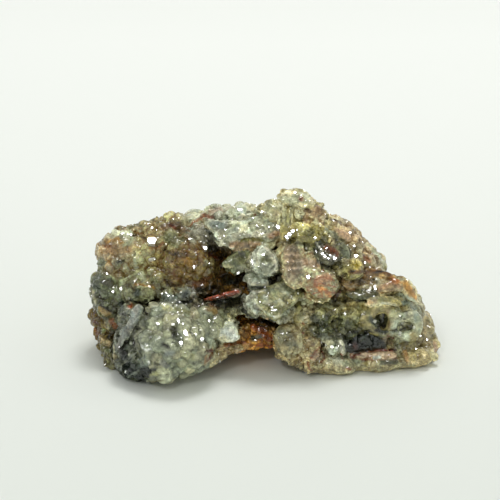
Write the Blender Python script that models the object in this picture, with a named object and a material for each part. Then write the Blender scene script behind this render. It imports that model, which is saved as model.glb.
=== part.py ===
"""Chalcedony rose: one lumpy, translucent piece of quartz that grew as overlapping lobes and
thin curled leaves, each covered in small rounded knobs, around a deep split in the middle.

The whole rose is one solid. It is modelled lying as it rests on a table: X runs along its
length, -Y is the side with the big botryoidal knob, Z is up, and the origin is on the table
under the middle of its bounding box.
"""

import math
import random
from collections import namedtuple

import bmesh
import bpy
from mathutils import Euler, Matrix, Vector

MM = 0.001

# Driving dimensions
TRIANGLE_BUDGET = 9800
FUSE_VOXEL = 0.42 * MM  # grid on which the lobes grow together
SOFTEN_PASSES = 2  # smoothing of the grid's steps
KNOB_SUNK = 0.3  # share of a knob's radius that lies under its lobe's surface
KNOB_SIZE_SPREAD = 0.3  # a knob's radius varies by this share either way
TABLE_CUT = 12 * MM  # thickness of the block that trims the feet flat at Z = 0
RING_STEPS = 18  # balls that make up one roll of the swirl
SEED = 11

# A lobe or hollow is an ellipsoid: at and size in millimetres (centre and half axes), turn in
# degrees about X, Y and Z. knob is the radius in millimetres of the rounded knobs on it.
Lobe = namedtuple("Lobe", "name at size turn knob")
Hollow = namedtuple("Hollow", "name at size turn")
Ring = namedtuple("Ring", "name at radius thickness")

FLAT = (0, 0, 0)
SIGHT = -22  # pitch in degrees of a line of sight that looks down on the front

# The thick masses inside, which carry the rest.
MASSES = (
    Lobe("left core", (-17.0, 3.4, 8.6), (8.4, 7.4, 8.4), FLAT, 0),
    Lobe("knob root", (-13.0, -4.0, 6.0), (7.6, 5.6, 5.4), FLAT, 0),
    Lobe("middle core", (-2.4, 6.4, 9.0), (11.0, 6.4, 9.2), FLAT, 0),
    Lobe("crest core", (4.4, 3.4, 15.4), (6.6, 5.4, 7.8), FLAT, 0),
    Lobe("right core", (11.2, 2.6, 8.4), (10.4, 7.0, 8.4), (0, 22, 0), 0),
    Lobe("right end core", (21.4, 0.8, 4.4), (4.6, 5.8, 4.4), FLAT, 0),
    Lobe("right foot", (14.0, -3.4, 3.4), (9.8, 4.2, 3.4), FLAT, 0),
    Lobe("left back", (-15.4, 8.4, 7.6), (8.8, 6.2, 7.4), FLAT, 1.8),
    Lobe("middle back", (-3.5, 8.6, 9.6), (8.6, 5.8, 9.2), FLAT, 1.8),
    Lobe("right back", (11.4, 7.6, 7.0), (10.2, 6.0, 7.0), (0, 16, 0), 1.8),
    Lobe("peak back", (4.8, 5.8, 19.4), (5.2, 4.2, 3.8), FLAT, 1.3),
    Lobe("petal root", (-6.8, 4.4, 17.2), (4.0, 3.4, 3.0), FLAT, 0),
)

# The rounded lobes of the left dome.
DOME = (
    Lobe("dome upper left", (-21.6, 3.0, 15.3), (4.4, 4.8, 4.3), FLAT, 1.5),
    Lobe("dome top", (-17.4, 2.6, 15.6), (4.9, 5.6, 4.6), FLAT, 1.5),
    Lobe("dome top right", (-14.6, 4.0, 18.3), (2.7, 3.4, 2.7), FLAT, 0),
    Lobe("dome left", (-22.2, 1.0, 10.8), (4.3, 5.2, 4.8), FLAT, 1.5),
    Lobe("dome middle", (-18.0, -0.4, 11.3), (5.4, 6.6, 5.2), FLAT, 1.5),
    Lobe("dome right", (-11.9, 0.4, 15.6), (4.8, 6.0, 4.3), FLAT, 1.4),
    Lobe("dome right low", (-11.9, -1.8, 12.7), (4.7, 4.0, 2.0), FLAT, 1.2),
    Lobe("dome low left", (-23.2, -0.8, 8.9), (2.9, 4.2, 2.7), FLAT, 1.3),
    Lobe("grey facet", (-9.9, 2.2, 19.6), (2.2, 2.4, 1.6), FLAT, 0),
)

# The big botryoidal knob in front, with its dark heel, and the small foot left of it.
KNOB = (
    Lobe("big knob", (-14.4, -9.8, 6.7), (5.5, 6.4, 5.3), FLAT, 1.4),
    Lobe("big knob right", (-11.4, -9.8, 5.0), (3.5, 5.0, 4.2), FLAT, 1.3),
    Lobe("big knob foot", (-16.1, -11.6, 4.1), (4.1, 4.6, 3.2), FLAT, 1.3),
    Lobe("big knob shoulder", (-9.9, -8.0, 8.7), (3.3, 4.2, 2.4), FLAT, 1.3),
    Lobe("knob crown left", (-14.6, -6.6, 12.0), (1.9, 2.4, 1.4), FLAT, 0),
    Lobe("knob crown right", (-12.0, -6.8, 12.0), (1.9, 2.2, 1.5), FLAT, 0),
    Lobe("dark heel", (-19.8, -8.0, 3.2), (3.8, 6.0, 4.4), FLAT, 1.5),
    Lobe("heel leaf", (-21.8, -6.6, 7.0), (1.3, 4.6, 4.4), (0, 18, 0), 0),
    Lobe("heel rim", (-24.3, -4.6, 1.7), (1.1, 3.4, 2.6), (0, -16, 0), 0),
    Lobe("pale patch", (-5.9, -6.2, 6.3), (2.0, 2.8, 2.2), FLAT, 0),
    Lobe("knob tail", (-6.7, -6.2, 4.2), (3.3, 3.0, 1.5), (0, -24, 0), 0),
    Lobe("left foot upper", (-25.4, 0.6, 6.2), (2.0, 3.4, 1.8), FLAT, 1.1),
    Lobe("left foot lower", (-24.2, 0.4, 3.2), (2.5, 3.8, 3.2), FLAT, 1.2),
)

# Thin leaves and lumps around the split: the petals of the rose.
PETALS = (
    Lobe("rust bridge", (-2.1, -3.0, 4.3), (5.0, 3.8, 2.2), FLAT, 1.1),
    Lobe("rust lump", (-0.2, -5.0, 5.6), (2.1, 2.4, 1.5), FLAT, 0),
    Lobe("split floor plate", (-5.1, -4.6, 9.6), (3.4, 3.0, 0.9), (0, -14, 0), 0),
    Lobe("red ledge", (-6.5, -4.8, 11.9), (3.1, 3.0, 0.55), (-22, -14, 0), 0),
    Lobe("back lump left", (-11.3, 7.0, 19.5), (2.3, 3.4, 2.0), FLAT, 0),
    Lobe("back lump brown", (-8.3, 5.6, 20.3), (1.9, 3.0, 2.0), FLAT, 0),
    Lobe("petal crown left", (-7.0, 5.0, 21.2), (2.2, 3.2, 1.9), FLAT, 0),
    Lobe("petal crown", (-3.7, 4.8, 21.2), (3.0, 3.8, 2.1), FLAT, 0),
    Lobe("broad petal left", (-5.6, -0.8, 20.1), (3.6, 3.2, 1.1), (8, 40, 0), 0),
    Lobe("broad petal web", (-6.2, 2.0, 20.2), (2.6, 3.4, 1.6), FLAT, 0),
    Lobe("broad petal", (-1.5, -0.6, 21.0), (4.4, 3.2, 1.3), (30, 8, 0), 0),
    Lobe("broad petal lip", (-0.2, -2.6, 20.2), (2.9, 1.9, 0.9), (18, -8, 0), 0),
    Lobe("pointed petal", (-3.7, -3.4, 17.0), (2.9, 2.3, 0.8), (16, -10, 0), 0),
)

# The pale glassy column beside the split, the pink lumps and the peak above them.
COLUMN = (
    Lobe("glassy upper", (-0.1, -4.2, 17.3), (2.5, 3.4, 2.4), FLAT, 0),
    Lobe("glassy middle", (-0.7, -4.6, 13.7), (2.2, 2.6, 1.5), FLAT, 0),
    Lobe("glassy lower", (1.4, -5.4, 11.5), (4.0, 3.6, 3.0), FLAT, 0),
    Lobe("glassy corner", (-1.5, -6.4, 10.9), (1.6, 2.4, 1.5), FLAT, 0),
    Lobe("glassy foot", (3.1, -6.6, 9.8), (2.0, 2.6, 1.6), FLAT, 0),
    Lobe("glassy side", (3.5, -5.4, 13.2), (2.2, 2.8, 1.8), FLAT, 0),
    Lobe("pink upper", (4.2, -4.2, 17.3), (2.3, 3.4, 3.6), FLAT, 0),
    Lobe("pink middle", (7.1, -4.0, 17.2), (1.9, 3.2, 2.4), FLAT, 0),
    Lobe("pink lower", (9.3, -5.4, 14.2), (2.7, 3.0, 2.1), FLAT, 0),
    Lobe("pink foot", (6.4, -5.2, 12.9), (2.3, 2.6, 1.7), FLAT, 0),
    Lobe("peak", (5.0, 2.0, 24.5), (3.2, 4.2, 2.4), FLAT, 0),
    Lobe("peak left", (1.4, 1.6, 23.4), (2.3, 3.6, 2.1), FLAT, 0),
    Lobe("peak right", (7.8, 2.0, 23.0), (2.1, 3.4, 1.9), FLAT, 0),
    Lobe("peak front", (6.1, -0.8, 21.6), (3.5, 3.6, 2.4), FLAT, 0),
    Lobe("rib left", (3.1, -2.6, 22.4), (0.6, 1.6, 2.3), (0, 4, 0), 0),
    Lobe("rib right", (4.4, -3.0, 22.6), (0.6, 1.6, 2.3), (0, -4, 0), 0),
)

# The right shoulder, its ledge, the end, and what lies in front of and under them.
RIGHT = (
    Lobe("shoulder first", (11.8, 2.4, 19.5), (3.2, 4.4, 2.1), (0, 20, 0), 1.2),
    Lobe("shoulder second", (14.0, 2.6, 17.6), (2.0, 4.0, 1.8), FLAT, 1.2),
    Lobe("shoulder third", (16.0, 2.6, 15.6), (1.8, 3.8, 1.5), FLAT, 1.1),
    Lobe("shoulder fourth", (17.6, 2.2, 13.5), (1.9, 4.0, 1.7), FLAT, 1.1),
    Lobe("shoulder face", (12.9, -1.8, 16.0), (3.0, 3.4, 1.8), (0, 20, 0), 1.1),
    Lobe("yellow lump", (14.4, -4.4, 16.4), (1.1, 1.4, 1.1), FLAT, 0),
    Lobe("eye rim", (10.5, -2.4, 19.8), (2.2, 1.6, 0.7), (0, 38, 0), 0),
    Lobe("ledge", (16.6, -1.8, 12.2), (5.1, 4.2, 1.2), (0, 3, 0), 1.0),
    Lobe("ledge end", (21.2, -0.8, 11.1), (2.7, 3.6, 1.2), (0, 10, 0), 1.0),
    Lobe("ledge ridge", (19.9, -4.4, 13.0), (3.1, 1.7, 0.7), (0, 2, 0), 0),
    Lobe("end upper", (23.3, 0.4, 7.6), (1.3, 3.4, 1.9), FLAT, 1.1),
    Lobe("end middle", (24.9, 0.0, 4.4), (1.9, 4.0, 2.0), FLAT, 1.1),
    Lobe("end lower", (24.9, -1.0, 1.4), (2.6, 4.4, 2.2), FLAT, 1.2),
    Lobe("swirl root", (20.6, -2.4, 6.6), (4.2, 3.6, 3.8), FLAT, 0),
    Lobe("swirl brow", (19.0, -4.4, 10.3), (2.9, 2.4, 0.9), (0, 6, 0), 0),
    Lobe("saddle", (6.4, -5.6, 9.0), (1.9, 3.0, 2.5), FLAT, 0),
    Lobe("middle knob upper left", (9.4, -5.6, 9.3), (2.0, 2.8, 1.7), FLAT, 0),
    Lobe("middle knob upper right", (13.0, -5.0, 9.6), (2.4, 2.8, 1.5), FLAT, 0),
    Lobe("middle knob lower left", (8.9, -6.4, 6.4), (2.4, 2.8, 1.5), FLAT, 0),
    Lobe("middle knob lower right", (13.2, -5.6, 6.9), (2.0, 2.8, 1.4), FLAT, 0),
    Lobe("middle knob bottom", (11.1, -7.2, 4.6), (1.9, 2.6, 1.7), FLAT, 0),
    Lobe("grey lump", (4.8, -7.0, 4.6), (3.5, 3.6, 3.4), FLAT, 0),
    Lobe("grey lump foot", (7.5, -8.8, 2.2), (2.0, 2.4, 1.9), FLAT, 0),
    Lobe("rim left", (11.1, -7.6, 1.5), (4.2, 2.8, 1.9), FLAT, 0),
    Lobe("rim middle", (17.2, -6.4, 1.4), (5.4, 3.0, 1.8), FLAT, 0),
    Lobe("rim right", (22.8, -4.0, 1.3), (4.6, 3.8, 1.9), (0, -3, 0), 0),
)

# The rear: leaves that overlap like shingles and open upwards, over three feet.
REAR = (
    Lobe("rear foot left", (-14.0, 11.4, 1.8), (6.0, 3.4, 2.6), FLAT, 1.3),
    Lobe("rear foot middle", (0.0, 12.2, 1.6), (5.6, 3.2, 2.4), FLAT, 1.3),
    Lobe("rear foot right", (12.6, 11.2, 1.8), (5.6, 3.2, 2.6), FLAT, 1.3),
    Lobe("rear leaf low left", (-13.0, 12.2, 4.6), (7.6, 5.0, 1.4), (24, 0, 14), 1.0),
    Lobe("rear leaf low middle", (-1.0, 13.2, 4.0), (7.6, 4.6, 1.5), (22, 0, 0), 1.0),
    Lobe("rear leaf low right", (11.6, 12.2, 3.8), (8.0, 4.6, 1.4), (22, 4, -14), 1.0),
    Lobe("rear leaf middle left", (-17.2, 11.2, 9.8), (6.0, 4.6, 1.3), (32, -6, 20), 0.9),
    Lobe("rear leaf middle", (-5.6, 12.6, 9.8), (6.6, 4.2, 1.3), (32, 0, -4), 0.9),
    Lobe("rear leaf middle right", (6.4, 12.2, 9.2), (6.6, 4.4, 1.3), (30, 8, -8), 0.9),
    Lobe("rear leaf high", (-0.6, 10.8, 14.8), (6.2, 3.8, 1.2), (38, -6, 0), 0.8),
    Lobe("rear leaf high left", (-10.6, 10.6, 14.4), (4.8, 3.8, 1.2), (36, -10, 10), 0.8),
    Lobe("rear leaf shoulder", (12.0, 9.8, 12.8), (5.4, 4.0, 1.2), (30, 24, -10), 0.8),
    Lobe("rear leaf end", (20.2, 7.8, 5.6), (5.0, 4.6, 1.3), (22, 20, -40), 0.9),
)

# Rings of the swirl at the right end: at, radius and thickness in millimetres.
RINGS = (
    Ring("swirl left", (18.8, -6.0, 7.9), 2.2, 0.95),
    Ring("swirl right", (22.1, -5.9, 7.4), 1.75, 0.85),
)

# Open space between the lobes: the split, its branches, pits and the arch under the middle.
# A turn of SIGHT about X leads a hollow down into the stone.
HOLLOWS = (
    Hollow("black hole", (-4.5, -3.0, 14.0), (2.0, 6.4, 1.3), (SIGHT, 4, 0)),
    Hollow("upper hole", (-7.0, -2.2, 18.0), (1.9, 4.8, 1.1), (SIGHT, 8, 0)),
    Hollow("channel", (-6.8, -5.2, 12.6), (3.9, 4.2, 0.6), (SIGHT, -14, 0)),
    Hollow("under the glassy lobe", (-0.4, -6.6, 8.0), (3.4, 4.4, 0.7), (SIGHT, 14, 0)),
    Hollow("glassy pit", (2.1, -7.4, 16.0), (0.9, 2.6, 0.6), (SIGHT, 0, 0)),
    Hollow("shiny eye", (10.0, -4.2, 18.9), (2.0, 3.0, 0.9), (SIGHT, 42, 0)),
    Hollow("under the pink lobe", (9.8, -7.2, 12.0), (2.1, 3.0, 0.5), (SIGHT, -22, 0)),
    Hollow("dark recess", (16.4, -8.4, 5.7), (3.2, 2.4, 1.2), (SIGHT, 0, 0)),
    Hollow("crack", (17.1, -8.8, 4.1), (3.9, 3.4, 0.5), (SIGHT, -3, 0)),
    Hollow("left crevice", (-23.5, -3.4, 8.0), (1.9, 3.2, 0.5), (SIGHT, 14, 0)),
    Hollow("behind the knob", (-17.9, -6.6, 11.8), (4.6, 3.0, 0.5), (SIGHT, -6, 0)),
    Hollow("heel groove", (-20.9, -12.6, 5.6), (0.5, 2.8, 3.0), (SIGHT, 14, 0)),
    Hollow("swirl eye left", (18.9, -7.2, 8.0), (0.8, 3.0, 1.7), (SIGHT, 0, 0)),
    Hollow("swirl eye right", (22.0, -7.0, 7.4), (0.8, 2.6, 0.8), (SIGHT, 0, 0)),
    Hollow("knob pit right", (-13.8, -16.4, 5.4), (0.8, 1.8, 0.8), (SIGHT, 0, 0)),
    Hollow("knob pit left", (-15.5, -16.6, 3.6), (0.8, 1.6, 0.6), (SIGHT, 20, 0)),
    Hollow("arch", (-0.4, -9.0, 0.2), (6.2, 11.0, 2.9), (0, 0, -6)),
    Hollow("underside", (-1.0, 2.0, -0.6), (12.5, 7.5, 2.4), FLAT),
    Hollow("left underside", (-19.0, -3.0, -0.8), (3.6, 2.6, 1.7), FLAT),
)


def placed(at, size, turn):
    """The matrix that makes a unit sphere into the ellipsoid of these millimetres and degrees."""
    turned = Euler([math.radians(angle) for angle in turn])
    return Matrix.LocRotScale(Vector(at) * MM, turned, Vector(size) * MM)


def add_ellipsoid(shell, at, size, turn=FLAT, detail=4):
    bmesh.ops.create_icosphere(
        shell, subdivisions=detail, radius=1.0, matrix=placed(at, size, turn)
    )


def even_directions(count):
    """Unit vectors spread evenly over a sphere, along a golden spiral."""
    golden = math.pi * (3 - math.sqrt(5))
    for i in range(count):
        up = 1 - 2 * (i + 0.5) / count
        out = math.sqrt(1 - up * up)
        yield Vector((out * math.cos(golden * i), out * math.sin(golden * i), up))


def add_knobs(shell, lobe, chance):
    """Covers a lobe with rounded knobs of varied size, about two radii apart."""
    a, b, c = lobe.size
    area = 4 * math.pi * ((a * b) ** 1.6 + (a * c) ** 1.6 + (b * c) ** 1.6) ** 0.625 / 3**0.625
    count = round(area / (2.0 * lobe.knob) ** 2)
    body = placed(lobe.at, lobe.size, lobe.turn)
    normal = body.to_3x3().inverted().transposed()
    for way in even_directions(count):
        jitter = Vector([chance.gauss(0, 0.06) for _ in range(3)])
        way = (way + jitter).normalized()
        radius = lobe.knob * (1 + chance.uniform(-KNOB_SIZE_SPREAD, KNOB_SIZE_SPREAD))
        sunk = (normal @ way).normalized() * (radius * KNOB_SUNK)
        spot = (body @ way) / MM - sunk
        add_ellipsoid(shell, spot, (radius, radius, radius), detail=2)


def add_ring(shell, ring):
    """A closed roll of overlapping balls, standing upright and facing the front."""
    steps = RING_STEPS
    for i in range(steps):
        angle = 2 * math.pi * i / steps
        spoke = Vector((math.cos(angle), 0, math.sin(angle))) * ring.radius
        ball = (ring.thickness,) * 3
        add_ellipsoid(shell, Vector(ring.at) + spoke, ball, detail=3)


def mesh_of(name, shell):
    mesh = bpy.data.meshes.new(name)
    shell.to_mesh(mesh)
    shell.free()
    return mesh


def append(together, name, shell):
    """Adds one lobe's shells to the rest. Adding to a small mesh first is much quicker."""
    grown = mesh_of(name, shell)
    together.from_mesh(grown)
    bpy.data.meshes.remove(grown)


def mesh_object(name, shell):
    made = bpy.data.objects.new(name, mesh_of(name, shell))
    bpy.context.scene.collection.objects.link(made)
    return made


def apply_modifiers(target):
    """Replaces the object's mesh with the one its modifiers make."""
    graph = bpy.context.evaluated_depsgraph_get()
    finished = bpy.data.meshes.new_from_object(target.evaluated_get(graph))
    target.modifiers.clear()
    target.data = finished


def fuse(target, voxel):
    """Grows overlapping shells together into one skin."""
    remesh = target.modifiers.new("fuse", "REMESH")
    remesh.mode = "VOXEL"
    remesh.voxel_size = voxel
    remesh.adaptivity = 0
    apply_modifiers(target)


def soften(target, passes):
    smooth = target.modifiers.new("soften", "SMOOTH")
    smooth.factor = 0.5
    smooth.iterations = passes
    apply_modifiers(target)


def helper(shell, name):
    """A cutter: it shapes the rose and is left out of it."""
    made = mesh_object(name, shell)
    made.hide_render = True
    made.display_type = "WIRE"
    return made


def cut(target, cutter, operation="DIFFERENCE"):
    boolean = target.modifiers.new(cutter.name, "BOOLEAN")
    boolean.operation = operation
    boolean.solver = "EXACT"
    boolean.object = cutter
    apply_modifiers(target)


def thin_out(target, budget):
    """Keeps the form with as few triangles as the budget allows."""
    target.data.calc_loop_triangles()
    decimate = target.modifiers.new("thin out", "DECIMATE")
    decimate.ratio = min(1, budget / len(target.data.loop_triangles))
    apply_modifiers(target)


def grown_body():
    """All lobes and petals with their knobs, grown together."""
    chance = random.Random(SEED)
    together = bmesh.new()
    for lobe in (*MASSES, *DOME, *KNOB, *PETALS, *COLUMN, *RIGHT, *REAR):
        shell = bmesh.new()
        add_ellipsoid(shell, lobe.at, lobe.size, lobe.turn)
        if lobe.knob:
            add_knobs(shell, lobe, chance)
        append(together, lobe.name, shell)
    for ring in RINGS:
        shell = bmesh.new()
        add_ring(shell, ring)
        append(together, ring.name, shell)
    body = mesh_object("chalcedony_rose", together)
    fuse(body, FUSE_VOXEL)
    return body


def carve_hollows(body):
    shell = bmesh.new()
    for hollow in HOLLOWS:
        add_ellipsoid(shell, hollow.at, hollow.size, hollow.turn)
    cutter = helper(shell, "hollows")
    fuse(cutter, FUSE_VOXEL)
    cut(body, cutter)


def trim_feet(body):
    """Cuts the lowest knobs off flat at the table, so that the rose rests as it lies."""
    block = bmesh.new()
    side = 120 * MM
    middle = Matrix.Translation((0, 0, -TABLE_CUT / 2))
    bmesh.ops.create_cube(block, size=1.0, matrix=middle @ Matrix.Diagonal((side, side, TABLE_CUT, 1)))
    cut(body, helper(block, "table"))


def centre_on_origin(target):
    """Moves the rose so that the origin lies under the middle of its bounding box."""
    corners = [Vector(corner) for corner in target.bound_box]
    middle = (min(corners, key=sum) + max(corners, key=sum)) / 2
    target.data.transform(Matrix.Translation((-middle.x, -middle.y, 0)))


def chalcedony():
    material = bpy.data.materials.new("chalcedony")
    material.use_nodes = True
    shader = material.node_tree.nodes["Principled BSDF"]
    shader.inputs["Base Color"].default_value = (0.30, 0.29, 0.20, 1)
    shader.inputs["Roughness"].default_value = 0.25
    shader.inputs["Metallic"].default_value = 0.0
    return material


def main():
    for old in list(bpy.data.objects):
        bpy.data.objects.remove(old)
    rose = grown_body()
    carve_hollows(rose)
    fuse(rose, FUSE_VOXEL)
    soften(rose, SOFTEN_PASSES)
    thin_out(rose, TRIANGLE_BUDGET)
    trim_feet(rose)
    centre_on_origin(rose)
    rose.data.materials.clear()
    rose.data.materials.append(chalcedony())


main()
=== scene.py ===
import math
from collections import namedtuple

import bmesh
import bpy
import numpy as np
from mathutils import Euler, Matrix, Vector, kdtree
from mathutils.bvhtree import BVHTree


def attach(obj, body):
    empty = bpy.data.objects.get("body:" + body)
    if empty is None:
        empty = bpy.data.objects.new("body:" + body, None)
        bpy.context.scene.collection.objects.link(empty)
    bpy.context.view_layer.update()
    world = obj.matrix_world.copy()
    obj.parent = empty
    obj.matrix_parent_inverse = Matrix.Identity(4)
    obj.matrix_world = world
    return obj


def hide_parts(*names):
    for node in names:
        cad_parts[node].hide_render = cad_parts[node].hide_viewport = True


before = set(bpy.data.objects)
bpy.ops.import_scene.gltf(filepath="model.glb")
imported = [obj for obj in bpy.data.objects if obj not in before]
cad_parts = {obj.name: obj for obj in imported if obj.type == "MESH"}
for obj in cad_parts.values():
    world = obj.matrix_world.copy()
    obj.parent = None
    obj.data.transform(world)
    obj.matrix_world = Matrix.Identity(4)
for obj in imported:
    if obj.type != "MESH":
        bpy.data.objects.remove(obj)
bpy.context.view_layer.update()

MM = 0.001

# The photographer's view
# The rose lies on a table and is seen from the front, 22 degrees down, with a long lens.
VIEW_TARGET = Vector((-2.16, -0.41, 17.6)) * MM
VIEW_DOWN = math.radians(22)
VIEW_DISTANCE = 450 * MM
FRAME_WIDTH = 79 * MM  # what the picture shows across, at the target
PICTURE_SIDE = 500  # pixels

sight = Vector((0, math.cos(VIEW_DOWN), -math.sin(VIEW_DOWN)))
eye = VIEW_TARGET - sight * VIEW_DISTANCE
camera = bpy.data.objects.new("camera", bpy.data.cameras.new("camera"))
bpy.context.scene.collection.objects.link(camera)
camera.data.sensor_width = 36
camera.data.lens = camera.data.sensor_width * VIEW_DISTANCE / FRAME_WIDTH
camera.data.clip_start = 10 * MM
camera.data.clip_end = 10
camera.location = eye
camera.rotation_euler = sight.to_track_quat("-Z", "Y").to_euler()
bpy.context.scene.camera = camera


def sight_line(u, v):
    """The direction in which the camera sees a pixel of the picture."""
    across = (u - PICTURE_SIDE / 2) / PICTURE_SIDE * FRAME_WIDTH
    up = (PICTURE_SIDE / 2 - v) / PICTURE_SIDE * FRAME_WIDTH
    upward = Vector((0, math.sin(VIEW_DOWN), math.cos(VIEW_DOWN)))
    return (sight * VIEW_DISTANCE + Vector((across, 0, 0)) + upward * up).normalized()


# The body of the rose
# One piece of chalcedony that grew as overlapping rounded lobes and thin curled leaves. Each
# lobe is an ellipsoid: centre and half axes in millimetres, turn in degrees. bubble is the usual
# radius of the botryoids on it, and finish names its colour and clearness.
Lobe = namedtuple("Lobe", "name at size turn bubble finish")
FLAT = (0, 0, 0)
BODY_SHIFT = Vector((-0.056, -0.408, 0)) * MM  # puts the rose's middle over the origin

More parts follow.
